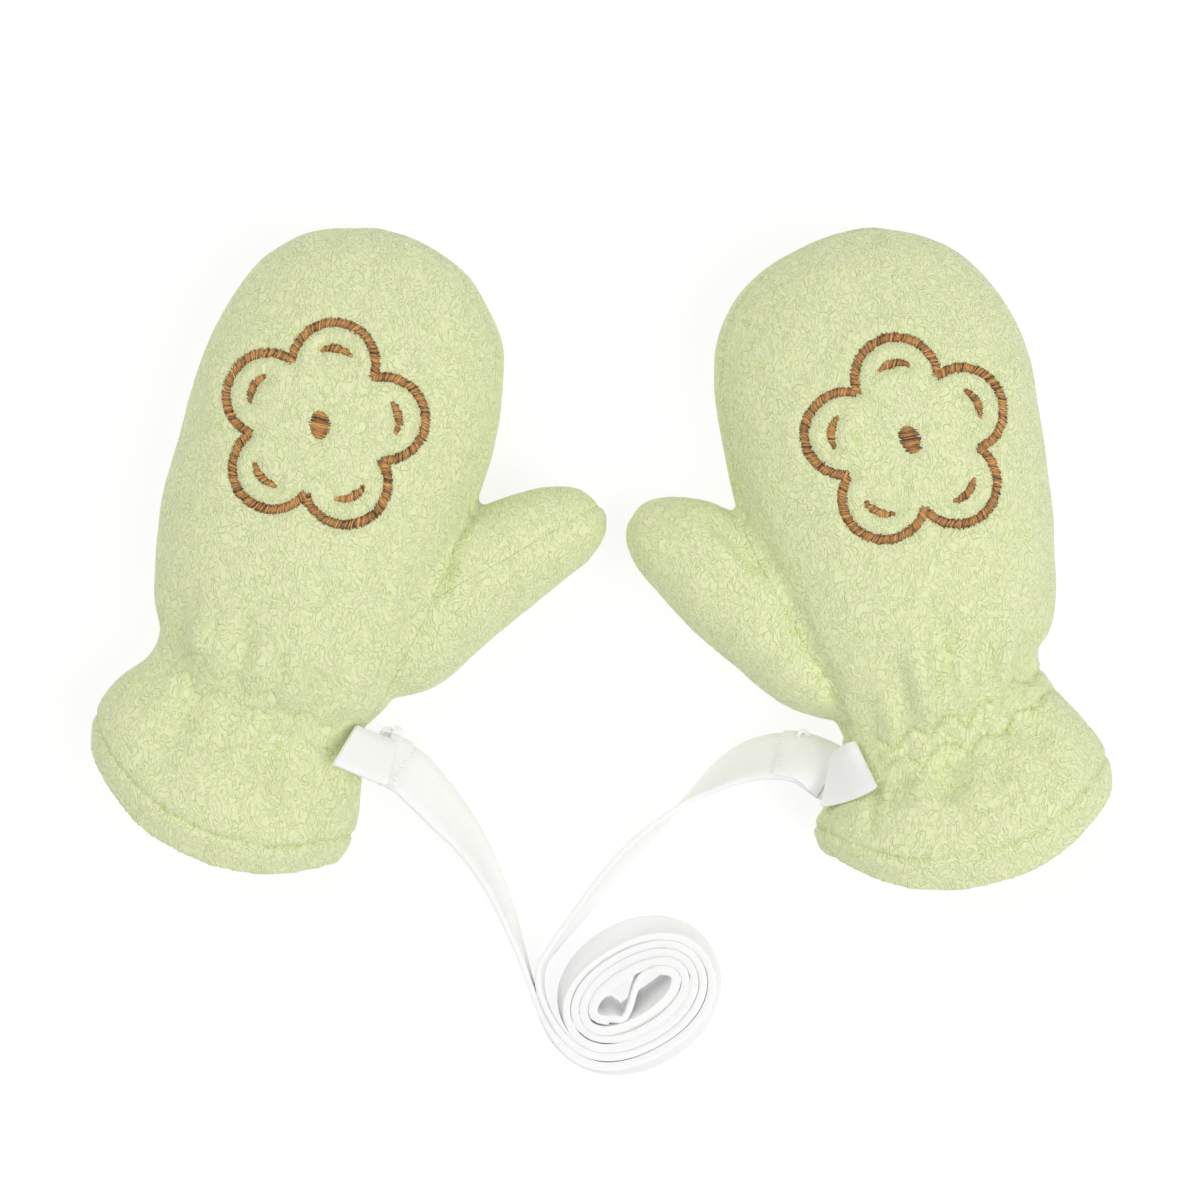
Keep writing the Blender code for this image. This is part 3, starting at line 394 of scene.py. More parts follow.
def mesh_object(name, points, faces, smooth=True):
    """Object from arrays of points in millimetres and of triangles or quads."""
    points, faces = np.asarray(points, float), np.asarray(faces, int)
    data = bpy.data.meshes.new(name)
    data.vertices.add(len(points))
    data.vertices.foreach_set("co", (points * MM).astype(np.float32).ravel())
    data.loops.add(faces.size)
    data.loops.foreach_set("vertex_index", faces.ravel().astype(np.int32))
    data.polygons.add(len(faces))
    data.polygons.foreach_set("loop_start", (np.arange(len(faces)) * faces.shape[1]).astype(np.int32))
    data.polygons.foreach_set("loop_total", np.full(len(faces), faces.shape[1], np.int32))
    data.polygons.foreach_set("use_smooth", np.full(len(faces), smooth))
    data.update(calc_edges=True)
    data.validate()
    obj = bpy.data.objects.new(name, data)
    bpy.context.scene.collection.objects.link(obj)
    return obj


def point_values(obj, name, values):
    layer = obj.data.attributes.new(name, "FLOAT", "POINT")
    layer.data.foreach_set("value", np.asarray(values, np.float32))


def vertex_normals(points, tris):
    p = points[tris]
    face = np.cross(p[:, 1] - p[:, 0], p[:, 2] - p[:, 0])
    n = np.empty_like(points)
    for axis in range(3):
        n[:, axis] = np.bincount(tris.ravel(), np.repeat(face[:, axis], 3), len(points))
    return n / np.maximum(np.linalg.norm(n, axis=1, keepdims=True), 1e-12)


def area_of(points, tris):
    p = points[tris]
    return np.linalg.norm(np.cross(p[:, 1] - p[:, 0], p[:, 2] - p[:, 0]), axis=1).sum() / 2


def keep(points, tris, values, field):
    """The part of a triangle mesh where the field is over 0, cut along its zero line."""
    side = field > 0
    count = side[tris].sum(1)
    whole, mixed = tris[count == 3], tris[(count == 1) | (count == 2)]
    lone = np.where(side[mixed].sum(1) == 1, np.argmax(side[mixed], 1), np.argmin(side[mixed], 1))
    mixed = np.stack([np.take_along_axis(mixed, ((lone + k) % 3)[:, None], 1)[:, 0] for k in range(3)], 1)
    pairs = np.concatenate([mixed[:, [0, 1]], mixed[:, [0, 2]]])
    unique, index = np.unique(np.sort(pairs, axis=1), axis=0, return_inverse=True)
    index = index.reshape(-1) + len(points)
    i, j = unique[:, 0], unique[:, 1]
    t = np.clip(field[i] / (field[i] - field[j]), 0.02, 0.98)[:, None]
    points = np.concatenate([points, points[i] + (points[j] - points[i]) * t])
    values = np.concatenate([values, values[i] + (values[j] - values[i]) * t])
    e1, e2 = index[: len(mixed)], index[len(mixed) :]
    inner = side[mixed[:, 0]]
    one = np.stack([mixed[inner, 0], e1[inner], e2[inner]], 1)
    rest = mixed[~inner]
    two = np.stack([rest[:, 1], rest[:, 2], e2[~inner]], 1)
    three = np.stack([rest[:, 1], e2[~inner], e1[~inner]], 1)
    tris = np.concatenate([whole, one, two, three])
    used, tris = np.unique(tris, return_inverse=True)
    return points[used], tris.reshape(-1, 3), values[used]


def largest_part(points, tris, values):
    """Leave out crumbs that a cut has left."""
    label = np.arange(len(points))
    while True:
        low = label[tris].min(1)
        fresh = label.copy()
        for k in range(3):
            np.minimum.at(fresh, tris[:, k], low)
        fresh = fresh[fresh]
        if (fresh == label).all():
            break
        label = fresh
    names, counts = np.unique(label[tris[:, 0]], return_counts=True)
    tris = tris[label[tris[:, 0]] == names[counts.argmax()]]
    used, tris = np.unique(tris, return_inverse=True)
    return points[used], tris.reshape(-1, 3), values[used]


def shell(outer, inner, tris):
    """Closed sheet between two copies of one mesh."""
    n = len(outer)
    edges = np.concatenate([tris[:, [0, 1]], tris[:, [1, 2]], tris[:, [2, 0]]])
    key, back = edges[:, 0] * n + edges[:, 1], edges[:, 1] * n + edges[:, 0]
    rim = edges[~np.isin(key, back)]
    i, j = rim[:, 0], rim[:, 1]
    sides = np.concatenate([np.stack([j, i, i + n], 1), np.stack([j, i + n, j + n], 1)])
    return np.concatenate([outer, inner]), np.concatenate([tris, tris[:, ::-1] + n, sides])


def line_distance(where, line):
    """Distance of each point from a run of points, and how far along it, from 0 to 1."""
    line = np.asarray(line, float)
    step = np.linalg.norm(np.diff(line, axis=0), axis=1)
    before = np.concatenate([[0.0], np.cumsum(step)])
    best, along = np.full(len(where), 1e9), np.zeros(len(where))
    for k, (a, b) in enumerate(zip(line, line[1:])):
        t = np.clip(((where - a) @ (b - a)) / max(step[k] ** 2, 1e-12), 0.0, 1.0)
        far = np.linalg.norm(where - a - t[:, None] * (b - a), axis=1)
        near = far < best
        best = np.where(near, far, best)
        along = np.where(near, (before[k] + t * step[k]) / before[-1], along)
    return best, along


def smooth_line(line, count=8):
    line = np.asarray(line, float)
    if len(line) < 3:
        return line
    step = np.concatenate([[0.0], np.cumsum(np.linalg.norm(np.diff(line, axis=0), axis=1))])
    return through(step, line, np.linspace(0.0, step[-1], count * (len(line) - 1) // 2 + 1))


def crease(where, line, width, depth, fade=0.35):
    """Soft trough along a line: how far the cloth is pushed in."""
    line = smooth_line(line)
    low, high = line.min(0) - 4 * width, line.max(0) + 4 * width
    near = ((where > low) & (where < high)).all(1)
    made = np.zeros(len(where))
    if near.any():
        far, along = line_distance(where[near], line)
        ends = ease(along, -0.02, fade) * ease(1 - along, -0.02, fade)
        made[near] = depth * ends * np.exp(-((far / width) ** 2))
    return made


def side_of(where, line):
    """Distance from a line that runs one way, under 0 on one side of it, and 1 beside the line fading past its ends."""
    line = smooth_line(line)
    low, high = line.min(0) - 12, line.max(0) + 12
    near = ((where > low) & (where < high)).all(1)
    far, on = np.full(len(where), 20.0), np.zeros(len(where))
    if near.any():
        order = np.argsort(line[:, 0])
        found, along = line_distance(where[near], line)
        side = np.where(where[near, 1] > np.interp(where[near, 0], line[order, 0], line[order, 1]), 1.0, -1.0)
        far[near] = found * side
        on[near] = ease(along, 0.0, 0.08) * ease(1 - along, 0.0, 0.08)
    return far, on


def inside_plan(points, plan):
    """Signed distance from a plan outline, over 0 inside it."""
    where = points[:, :2]
    closed = np.array(list(plan) + [plan[0]], float)
    far, _ = line_distance(where, closed)
    inside = np.zeros(len(where), bool)
    x, y = where[:, 0], where[:, 1]
    for (x1, y1), (x2, y2) in zip(closed, closed[1:]):
        if y1 != y2:
            cross = (y1 > y) != (y2 > y)
            inside ^= cross & (x < (x2 - x1) * (y - y1) / (y2 - y1) + x1)
    return np.where(inside, far, -far)


def seen(points):
    """Where points show in the picture, in its 1200 units."""
    scale = (CAMERA[2] - PLANE) / (CAMERA[2] - points[:, 2])
    x = CAMERA[0] + (points[:, 0] - CAMERA[0]) * scale
    y = CAMERA[1] + (points[:, 1] - CAMERA[1]) * scale
    return np.stack([PICTURE_ZERO[0] + x / UNIT, PICTURE_ZERO[1] - y / UNIT], 1)


def unseen(u, v, height):
    """The place at a height that shows at (u, v) in the picture."""
    x, y = (u - PICTURE_ZERO[0]) * UNIT, (PICTURE_ZERO[1] - v) * UNIT
    scale = (CAMERA[2] - height) / (CAMERA[2] - PLANE)
    return CAMERA[0] + (x - CAMERA[0]) * scale, CAMERA[1] + (y - CAMERA[1]) * scale


def noise_at(points, size, seed):
    """Smooth noise from about -1 to 1 with bumps of the given size in mm."""
    shift = Vector((seed * 17.3, seed * 5.1, seed * 29.7))
    scaled = points / size
    return np.array([noise.noise(Vector(p) + shift) for p in scaled.tolist()])


# ------------------------------------------------------------- the materials
def nodes_for(name):
    made = bpy.data.materials.new(name)
    made.use_nodes = True
    tree = made.node_tree
    return made, tree, tree.nodes["Principled BSDF"]


def add(tree, kind, inputs=None, **settings):
    node = tree.nodes.new(kind)
    for key, value in settings.items():
        setattr(node, key, value)
    for key, value in (inputs or {}).items():
        if isinstance(value, bpy.types.NodeSocket):
            tree.links.new(value, node.inputs[key])
        else:
            node.inputs[key].default_value = value
    return node


def ramp(tree, factor, stops):
    node = add(tree, "ShaderNodeValToRGB", {"Fac": factor})
    element = node.color_ramp.elements
    element[0].position, element[0].color = stops[0][0], (*stops[0][1], 1.0)
    element[1].position, element[1].color = stops[-1][0], (*stops[-1][1], 1.0)
    for place, colour in stops[1:-1]:
        new = element.new(place)
        new.color = (*colour, 1.0)
    return node.outputs["Color"]


def fleece_material():
    """Short plush pile: small leaning clumps parted by thin greener cracks; sewn lines are finer and crisper; painted
    shade, darker and greener, from the point values in creases, grooves and seams and on the inside.
    """
    made, tree, shader = nodes_for("fleece_plush")
    place = add(tree, "ShaderNodeTexCoord").outputs["Object"]

    def maths(operation, *values):
        return add(tree, "ShaderNodeMath", dict(enumerate(values)), operation=operation).outputs[0]

    def between(value, low, high, first, last):
        return add(
            tree,
            "ShaderNodeMapRange",
            {"Value": value, "From Min": low, "From Max": high, "To Min": first, "To Max": last},
            interpolation_type="SMOOTHSTEP",
        ).outputs[0]

    def wandering(scale, size, seed):
        moved = add(tree, "ShaderNodeMapping", {"Vector": place, "Location": (seed, 0.37 * seed, 0.11)}).outputs[0]
        colour = add(tree, "ShaderNodeTexNoise", {"Vector": moved, "Scale": scale, "Detail": 2.0}).outputs["Color"]
        centred = add(tree, "ShaderNodeVectorMath", {0: colour, 1: (0.5, 0.5, 0.5)}, operation="SUBTRACT").outputs[0]
        return add(tree, "ShaderNodeVectorMath", {0: centred, "Scale": size}, operation="SCALE").outputs[0]

    bent = add(tree, "ShaderNodeVectorMath", {0: place, 1: wandering(110.0, 0.0060, 0.0)}, operation="ADD").outputs[0]
    bent = add(tree, "ShaderNodeVectorMath", {0: bent, 1: wandering(520.0, 0.0016, 3.0)}, operation="ADD").outputs[0]
    nap = add(tree, "ShaderNodeMapping", {"Vector": bent, "Scale": (1.0, 0.50, 0.80), "Rotation": (0.0, 0.0, 0.4)}).outputs[0]
    ridge = add(tree, "ShaderNodeTexNoise", {"Vector": nap, "Scale": 900.0, "Detail": 1.0, "Roughness": 0.4}).outputs["Fac"]
    crack = between(maths("ABSOLUTE", maths("SUBTRACT", ridge, 0.5)), 0.0, 0.070, 1.0, 0.0)
    some = between(add(tree, "ShaderNodeTexNoise", {"Vector": nap, "Scale": 560.0, "Detail": 1.0}).outputs["Fac"], 0.38, 0.60, 0.15, 1.0)
    shifted = add(tree, "ShaderNodeMapping", {"Vector": nap, "Location": (0.31, 0.12, 0.07)}).outputs[0]
    finer = add(tree, "ShaderNodeTexNoise", {"Vector": shifted, "Scale": 1250.0, "Detail": 1.0, "Roughness": 0.4}).outputs["Fac"]
    finer = between(maths("ABSOLUTE", maths("SUBTRACT", finer, 0.5)), 0.0, 0.075, 0.75, 0.0)
    crack = maths("MAXIMUM", maths("MULTIPLY", crack, some), maths("MULTIPLY", finer, maths("SUBTRACT", 1.15, some)))
    soft = add(tree, "ShaderNodeTexNoise", {"Vector": nap, "Scale": 1350.0, "Detail": 2.0, "Roughness": 0.5}).outputs["Fac"]
    fibre = add(tree, "ShaderNodeTexNoise", {"Vector": nap, "Scale": 2600.0, "Detail": 2.0, "Roughness": 0.6}).outputs["Fac"]
    patch = add(tree, "ShaderNodeTexNoise", {"Vector": place, "Scale": 34.0, "Detail": 2.0}).outputs["Fac"]

    def value_of(name):
        return add(tree, "ShaderNodeAttribute", attribute_name=name).outputs["Fac"]

    sewn = maths("MULTIPLY", between(maths("ABSOLUTE", value_of("hem_line")), 0.10, 0.85, 1.0, 0.0), between(soft, 0.36, 0.60, 0.35, 0.9))
    for name in ("gather_1", "gather_2", "gather_3", "gather_4"):
        line = between(maths("ABSOLUTE", value_of(name)), 0.08, 0.62, 1.0, 0.0)
        line = maths("MULTIPLY", line, value_of(name + "_on"))
        sewn = maths("MAXIMUM", sewn, maths("MULTIPLY", line, between(soft, 0.36, 0.60, 0.45, 1.0)))
    # painted shade: the point values make the colour darker and greener in creases, grooves and seams and on the inside
    hollow_shade = value_of("hollow_shade")
    pile = maths("MULTIPLY_ADD", crack, -0.66, 0.70)
    pile = maths("MULTIPLY_ADD", soft, 0.66, pile)
    pile = maths("MULTIPLY_ADD", fibre, 0.16, pile)
    tone = maths("MULTIPLY_ADD", hollow_shade, -0.55, maths("MULTIPLY_ADD", sewn, -0.42, pile))
    tone = maths("MULTIPLY_ADD", patch, 0.10, tone)
    colour = ramp(
        tree,
        tone,
        [(0.02, (0.400, 0.560, 0.080)), (0.36, (0.590, 0.700, 0.262)), (0.74, (0.716, 0.780, 0.412)), (1.0, (0.770, 0.815, 0.480))],
    )
    tree.links.new(colour, shader.inputs["Base Color"])
    tree.links.new(between(pile, 0.2, 1.1, 1.0, 0.84), shader.inputs["Roughness"])
    shader.inputs["Specular IOR Level"].default_value = 0.15
    shader.inputs["Sheen Weight"].default_value = 0.38
    shader.inputs["Sheen Roughness"].default_value = 0.50
    shader.inputs["Sheen Tint"].default_value = (0.97, 1.0, 0.88, 1.0)
    raised = maths("MULTIPLY_ADD", sewn, -0.75, pile)
    bump = add(tree, "ShaderNodeBump", {"Height": raised, "Strength": 0.75, "Distance": 0.00040})
    tree.links.new(bump.outputs[0], shader.inputs["Normal"])
    return made


def tape_material():
    """Knitted elastic: fine ribs along the tape, finer rows across it."""
    made, tree, shader = nodes_for("elastic_tape_knit")
    place = add(tree, "ShaderNodeUVMap", uv_map="tape").outputs[0]
    across = add(tree, "ShaderNodeTexWave", {"Vector": place, "Scale": 0.34, "Distortion": 0.4, "Detail": 1.0}, wave_type="BANDS", bands_direction="X").outputs["Fac"]
    rows = add(tree, "ShaderNodeTexWave", {"Vector": place, "Scale": 0.36, "Distortion": 0.8, "Detail": 1.0}, wave_type="BANDS", bands_direction="Y").outputs["Fac"]
    grain = add(tree, "ShaderNodeTexNoise", {"Vector": place, "Scale": 1.6, "Detail": 3.0}).outputs["Fac"]
    knit = add(tree, "ShaderNodeMath", {0: across, 1: 0.6, 2: rows}, operation="MULTIPLY_ADD").outputs[0]
    knit = add(tree, "ShaderNodeMath", {0: grain, 1: 0.7, 2: knit}, operation="MULTIPLY_ADD").outputs[0]
    colour = ramp(tree, knit, [(0.2, (0.905, 0.903, 0.897)), (0.9, (0.925, 0.925, 0.920))])
    tree.links.new(colour, shader.inputs["Base Color"])
    rough = add(tree, "ShaderNodeMapRange", {"Value": grain, "To Min": 0.62, "To Max": 0.8}).outputs[0]
    tree.links.new(rough, shader.inputs["Roughness"])
    shader.inputs["Specular IOR Level"].default_value = 0.3
    shader.inputs["Sheen Weight"].default_value = 0.2
    shader.inputs["Subsurface Weight"].default_value = 0.55
    shader.inputs["Subsurface Radius"].default_value = (1.0, 1.0, 1.0)
    shader.inputs["Subsurface Scale"].default_value = 0.0008
    bump = add(tree, "ShaderNodeBump", {"Height": knit, "Strength": 0.22, "Distance": 0.00006})
    tree.links.new(bump.outputs[0], shader.inputs["Normal"])
    return made


def thread_material(name, dark, light, rough):
    """Lustrous thread; each strand has its own tone, and the strand value may also carry a painted highlight and
    painted shade.
    """
    made, tree, shader = nodes_for(name)
    place = add(tree, "ShaderNodeTexCoord").outputs["Object"]
    strand = add(tree, "ShaderNodeAttribute", attribute_name="strand").outputs["Fac"]
    twist = add(tree, "ShaderNodeTexNoise", {"Vector": place, "Scale": 3200.0, "Detail": 1.0}).outputs["Fac"]
    both = add(tree, "ShaderNodeMath", {0: twist, 1: 0.40, 2: strand}, operation="MULTIPLY_ADD").outputs[0]
    tree.links.new(ramp(tree, both, [(0.30, dark), (1.0, light)]), shader.inputs["Base Color"])
    tree.links.new(add(tree, "ShaderNodeMapRange", {"Value": twist, "To Min": rough, "To Max": rough + 0.12}).outputs[0], shader.inputs["Roughness"])
    shader.inputs["Sheen Weight"].default_value = 0.08
    bump = add(tree, "ShaderNodeBump", {"Height": twist, "Strength": 0.3, "Distance": 0.00006})
    tree.links.new(bump.outputs[0], shader.inputs["Normal"])
    return made


FLEECE = fleece_material()
TAPE = tape_material()
# the brown ramp's light end doubles as a painted highlight on the stitches' crests, its dark end as painted shade at
# their ends
THREAD = thread_material("thread_brown", (0.095, 0.030, 0.006), (0.800, 0.400, 0.118), 0.26)
SEWING = thread_material("thread_white", (0.74, 0.74, 0.73), (0.86, 0.86, 0.85), 0.5)


# ---------------------------------------------------------------- the cloth
LINE_NAMES = [f"gather_{k}{end}" for k in (1, 2, 3, 4) for end in ("", "_on")] + ["hem_line"]


def whole_form(side, body, thumb, folds):
    """Outer skin of hand, thumb and folded hem in one mesh, with the place of each point on the sections."""
    rings, row, turn, out = skin(BODY_COLUMNS, body, 1.0, 240, 0.0, folds, first=0.10)
    inward = -normals_of_rings(rings)
    inward[0] = inward[1]
    mouth = np.array([out[0][0], out[0][1], 0.0])
    steps = np.concatenate([[0.0], np.cumsum(np.linalg.norm(np.diff(rings, axis=0), axis=2).mean(1))])
    back = int(np.searchsorted(steps, HEM_INSIDE))
    bend = math.pi * HEM_ROUND / 2
    grids, marks = [], []
    for k in range(back, -1, -1):
        grids.append(rings[k] + inward[k] * 2 * HEM_ROUND)
        marks.append(-(steps[k] + bend))
    for k in range(7, 0, -1):
        angle = math.pi * k / 8
        grids.append(rings[0] + inward[0] * HEM_ROUND * (1 - math.cos(angle)) + mouth * HEM_ROUND * math.sin(angle))
        marks.append(bend - angle / math.pi * 2 * bend)
    lip = len(grids)
    for k in range(len(rings) - 1):
        grids.append(rings[k])
        marks.append(steps[k] + bend)
    grid = np.array(grids)
    segments = grid.shape[1]
    rows = np.concatenate([np.full(lip, row[0, 0]), row[: len(rings) - 1, 0]])
    info = np.empty((*grid.shape[:2], 5))
    info[..., 0] = rows[:, None]
    info[..., 1] = np.cos(np.radians(turn[0]))[None, :]
    info[..., 2] = np.sin(np.radians(turn[0]))[None, :]
    info[..., 3] = np.array(marks)[:, None]
    info[..., 4] = 0.0
    points = np.concatenate([grid.reshape(-1, 3), [grid[0].mean(0)], [grid[-1].mean(0)]])
    quads = faces_of_rings(len(grid), segments)
    cap = len(points) - 2
    k = np.arange(segments)
    fans = np.concatenate(
        [
            np.stack([np.full(segments, cap), (k + 1) % segments, k, k], 1),
            np.stack([np.full(segments, cap + 1), (len(grid) - 1) * segments + k, (len(grid) - 1) * segments + (k + 1) % segments] * 1 + [(len(grid) - 1) * segments + (k + 1) % segments], 1),
        ]
    )
    finger, frow, fturn, _ = skin(THUMB_COLUMNS, thumb, 1.0, 120, 0.2)
    finger, frow, fturn = finger[:-1], frow[:-1], fturn[:-1]
    finfo = np.zeros((*finger.shape[:2], 5))
    finfo[..., 0] = frow
    finfo[..., 1] = np.cos(np.radians(fturn))
    finfo[..., 2] = np.sin(np.radians(fturn))
    finfo[..., 3] = 200.0
    finfo[..., 4] = 1.0
    base = len(points)
    fpoints = np.concatenate([finger.reshape(-1, 3), [finger[0].mean(0)], [finger[-1].mean(0)]])
    fquads = faces_of_rings(len(finger), 120, base)
    k = np.arange(120)
    fcap, last = base + len(fpoints) - 2, base + (len(finger) - 1) * 120
    ffans = np.concatenate(
        [
            np.stack([np.full(120, fcap), base + (k + 1) % 120, base + k, base + k], 1),
            np.stack([np.full(120, fcap + 1), last + k, last + (k + 1) % 120, last + (k + 1) % 120], 1),
        ]
    )
    every = np.concatenate([points, fpoints])
    tris = []
    for part in (quads, fquads):
        tris += [part[:, [0, 1, 2]], part[:, [0, 2, 3]]]
    for part in (fans, ffans):
        tris.append(part[:, :3])
    obj = mesh_object(side + "_form", every, np.concatenate(tris))
    import_fix = obj.modifiers.new("voxels", "REMESH")
    import_fix.mode = "VOXEL"
    import_fix.voxel_size = VOXEL * MM
    graph = bpy.context.evaluated_depsgraph_get()
    graph.update()
    mesh = obj.evaluated_get(graph).to_mesh()
    new = np.empty(len(mesh.vertices) * 3)
    mesh.vertices.foreach_get("co", new)
    new = new.reshape(-1, 3) / MM
    mesh.calc_loop_triangles()
    faces = np.empty(len(mesh.loop_triangles) * 3, np.int32)
    mesh.loop_triangles.foreach_get("vertices", faces)
    faces = faces.reshape(-1, 3).astype(int)
    data = obj.data
    bpy.data.objects.remove(obj, do_unlink=True)
    bpy.data.meshes.remove(data)
    # even out the steps of the voxels
    edges = np.unique(np.sort(np.concatenate([faces[:, [0, 1]], faces[:, [1, 2]], faces[:, [2, 0]]]), axis=1), axis=0)
    degree = np.bincount(edges.ravel(), minlength=len(new))[:, None]
    for weight in [0.5, -0.52] * 7:
        total = np.stack(
            [np.bincount(edges[:, 0], new[edges[:, 1], a], len(new)) + np.bincount(edges[:, 1], new[edges[:, 0], a], len(new)) for a in range(3)], 1
        )
        new = new + weight * (total / np.maximum(degree, 1) - new)
    # look each point up on the sections
    sources = np.concatenate([grid.reshape(-1, 3), finger.reshape(-1, 3)])
    facts = np.concatenate([info.reshape(-1, 5), finfo.reshape(-1, 5)])
    tree = KDTree(len(sources))
    for k, p in enumerate(sources.tolist()):
        tree.insert(p, k)
    tree.balance()
    found = np.empty((len(new), 5))
    for k, p in enumerate(new.tolist()):
        near = tree.find_n(p, 4)
        weights = np.array([1.0 / (d + 0.15) for _, _, d in near])
        found[k] = weights @ facts[[i for _, i, _ in near]] / weights.sum()
    return new, faces, found


def gathers_and_folds(points, normals, found, stitches, creases, scale, seams, motif):
    """How far out (over 0) or in each point moves, and how much painted shade its colour gets in creases, grooves and
    seams.
    """
    row, mark, thumb = found[:, 0], found[:, 3], found[:, 4]
    turn = np.degrees(np.arctan2(found[:, 2], found[:, 1])) % 360
    shown = seen(points)
    top = ease(normals[:, 2], -0.12, 0.22)
    hidden = 1 - top
    moved, dark = np.zeros(len(points)), np.zeros(len(points))
    hand = 1 - ease(thumb, 0.3, 0.7)
    fine = UNIT
    where = shown * fine
    lines = []
    for line, width, depth in stitches:
        pushed = crease(where, np.array(line) * fine, width, depth * scale, fade=0.08) * top * hand
        moved -= pushed
        # painted shade: the colour darkens with the depth of the groove along the gathering seam
        dark += pushed * 0.18
        far, on = side_of(where, np.array(line) * fine)
        lines += [far, on * top * hand * (0.25 + 0.75 * scale)]
    for line, width, depth, *painted_shade_share in creases:
        pushed = crease(where, np.array(line) * fine, width * 1.25, depth * scale) * top
        moved -= pushed
        # painted shade in each crease, by the row's last value or 0.20
        dark += np.maximum(pushed, 0) * (painted_shade_share[0] if painted_shade_share else 0.20)
    along = np.interp(row, [0, 1, 2, 3, 4, 5, 6, 7, 8], [-31, -23.5, -11, 0, 6, 14, 22, 32, 42])
    round_it = np.stack([turn * 0.45, along], 1)
    for line in HIDDEN_LINES:
        pushed = crease(round_it, line, 0.9, 0.95, fade=0.02) * hidden * hand
        moved -= pushed
        # painted shade along the hidden gathering seams
        dark += pushed * 0.18
        far, on = side_of(round_it, line)
        lines += [far, on * hidden * hand]
    for line, width, depth in HIDDEN_CREASES:
        pushed = crease(round_it, line, width * 1.2, depth * 0.75) * hidden * hand
        moved -= pushed
        # faint painted shade in the hidden creases
        dark += pushed * 0.05
    # the hem: a groove where it is sewn, and the roll puffed up between groove and edge
    hem = mark - 11.2 + 0.25 * noise_at(points, 9.0, 3)
    groove = np.exp(-((hem / 1.1) ** 2)) * hand
    moved -= 0.75 * groove
    # painted shade in the hem's groove
    dark += 0.10 * groove
    lines.append(np.where(hand > 0.5, hem, 20.0))
    moved += 0.3 * np.exp(-(((mark - 5.8) / 3.2) ** 2)) * hand * (0.8 + 0.4 * noise_at(points, 12.0, 4))
    inner_edge = np.exp(-(((mark + 10.8) / 1.2) ** 2)) * hand
    moved -= 0.7 * inner_edge
    # the seams between the panels
    for field, width, depth in seams:
        groove = np.exp(-((field / width) ** 2)) * ease(mark, -14.0, -12.0)
        moved -= depth * groove
        # painted shade in the seam's groove
        dark += 0.10 * groove
    # where the embroidery holds the pile down
    if motif is not None:
        band = motif(points)
        moved -= 0.8 * np.exp(-((band / 1.9) ** 2)) * top
        moved += 0.35 * np.exp(-(((band - 4.2) / 2.2) ** 2)) * top
        # painted shade in the trough that the embroidery presses in
        dark += 0.12 * np.exp(-((band / 2.0) ** 2)) * top
    # soft unevenness of the filled cloth, and of the pile
    moved += 0.40 * noise_at(points, 17.0, 1) + 0.13 * noise_at(points, 6.0, 2) + 0.07 * noise_at(points, 2.4, 5)
    return moved, np.clip(dark, 0.0, 1.0), np.stack(lines, 1)


def seam_height(body):
    rows = [row for row in body if row[0] in ("palm", "knuckle", "crotch")]
    little = np.mean([row[1:3] for row in rows], axis=0)
    thumb = np.mean([row[3:5] for row in rows], axis=0)
    middle, across = (little + thumb) / 2, (thumb - little) / np.linalg.norm(thumb - little)
    return lambda p: SEAM_HEIGHT + SEAM_RISE * ((p[:, 0] - middle[0]) * across[0] + (p[:, 1] - middle[1]) * across[1])


def mitten(side, body, thumb, folds, back_plan, upper_plan, under_plan, stitches, creases, scale, motif):
    points, tris, found = whole_form(side, body, thumb, folds)
    if np.linalg.det(points[tris]).sum() < 0:
        tris = tris[:, ::-1]
    points, tris, found = keep(points, tris, found, found[:, 3] + HEM_INSIDE + math.pi * HEM_ROUND / 2 - 0.8)
    points, tris, found = largest_part(points, tris, found)
    normals = vertex_normals(points, tris)
    height = seam_height(body)
    back_field = np.minimum(points[:, 2] - height(points), inside_plan(points, back_plan))
    upper_field = inside_plan(points, upper_plan)
    if under_plan:
        upper_field = np.maximum(upper_field, np.minimum(inside_plan(points, under_plan), RIGHT_THUMB_SPLIT - points[:, 2]))
    rest = 1 - ease(back_field, -1.0, 1.0)
    upper_seam = np.where(rest > 0.02, upper_field / np.maximum(rest, 0.05), 99.0)
    seams = [(back_field, 1.0, 0.7), (upper_seam, 0.9, 0.45)]
    moved, dark, lines = gathers_and_folds(points, normals, found, stitches, creases, scale, seams, motif)
    outer = points + normals * moved[:, None]
    low = 0.04 + 0.3 * (points[:, 2] < 1.0) * np.clip(-moved, 0, 2.0)
    outer[:, 2] = np.maximum(outer[:, 2], low)
    inner = points - normals * (CLOTH - 0.15)
    values = np.column_stack([outer, inner, dark, normals, back_field, upper_field, lines])
    made = {}
    for panel in ("back", "palm_upper", "palm_lower"):
        p, t, v = points, tris, values
        if panel == "back":
            p, t, v = keep(p, t, v, v[:, 10] - GAP / 2)
        else:
            p, t, v = keep(p, t, v, -v[:, 10] - GAP / 2)
            sign = 1 if panel == "palm_upper" else -1
            p, t, v = keep(p, t, v, sign * v[:, 11] - GAP / 2)
        p, t, v = largest_part(p, t, v)
        both, faces = shell(v[:, 0:3], v[:, 3:6], t)
        obj = mesh_object(side + "_" + panel + "_cloth", both, faces)
        obj.data.set_sharp_from_angle(angle=math.radians(62))
        # painted shade: the creases' values on the outside, and an even 0.22 of painted shade on the inside of the
        # cloth
        point_values(obj, "hollow_shade", np.concatenate([v[:, 6], np.full(len(v), 0.22)]))
        for k, kind in enumerate(LINE_NAMES):
            point_values(obj, kind, np.concatenate([v[:, 12 + k], np.full(len(v), 0.0 if kind.endswith("_on") else 20.0)]))
        obj.data.materials.append(FLEECE)
        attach(obj, "root")
        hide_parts(side + "_" + panel)
        made[panel] = (obj, v[:, 0:3], t, v[:, 7:10], v[:, 6])
        print("CLOTH", obj.name, "area", round(area_of(v[:, 0:3], t)), "mm2, triangles", len(faces))
    return made


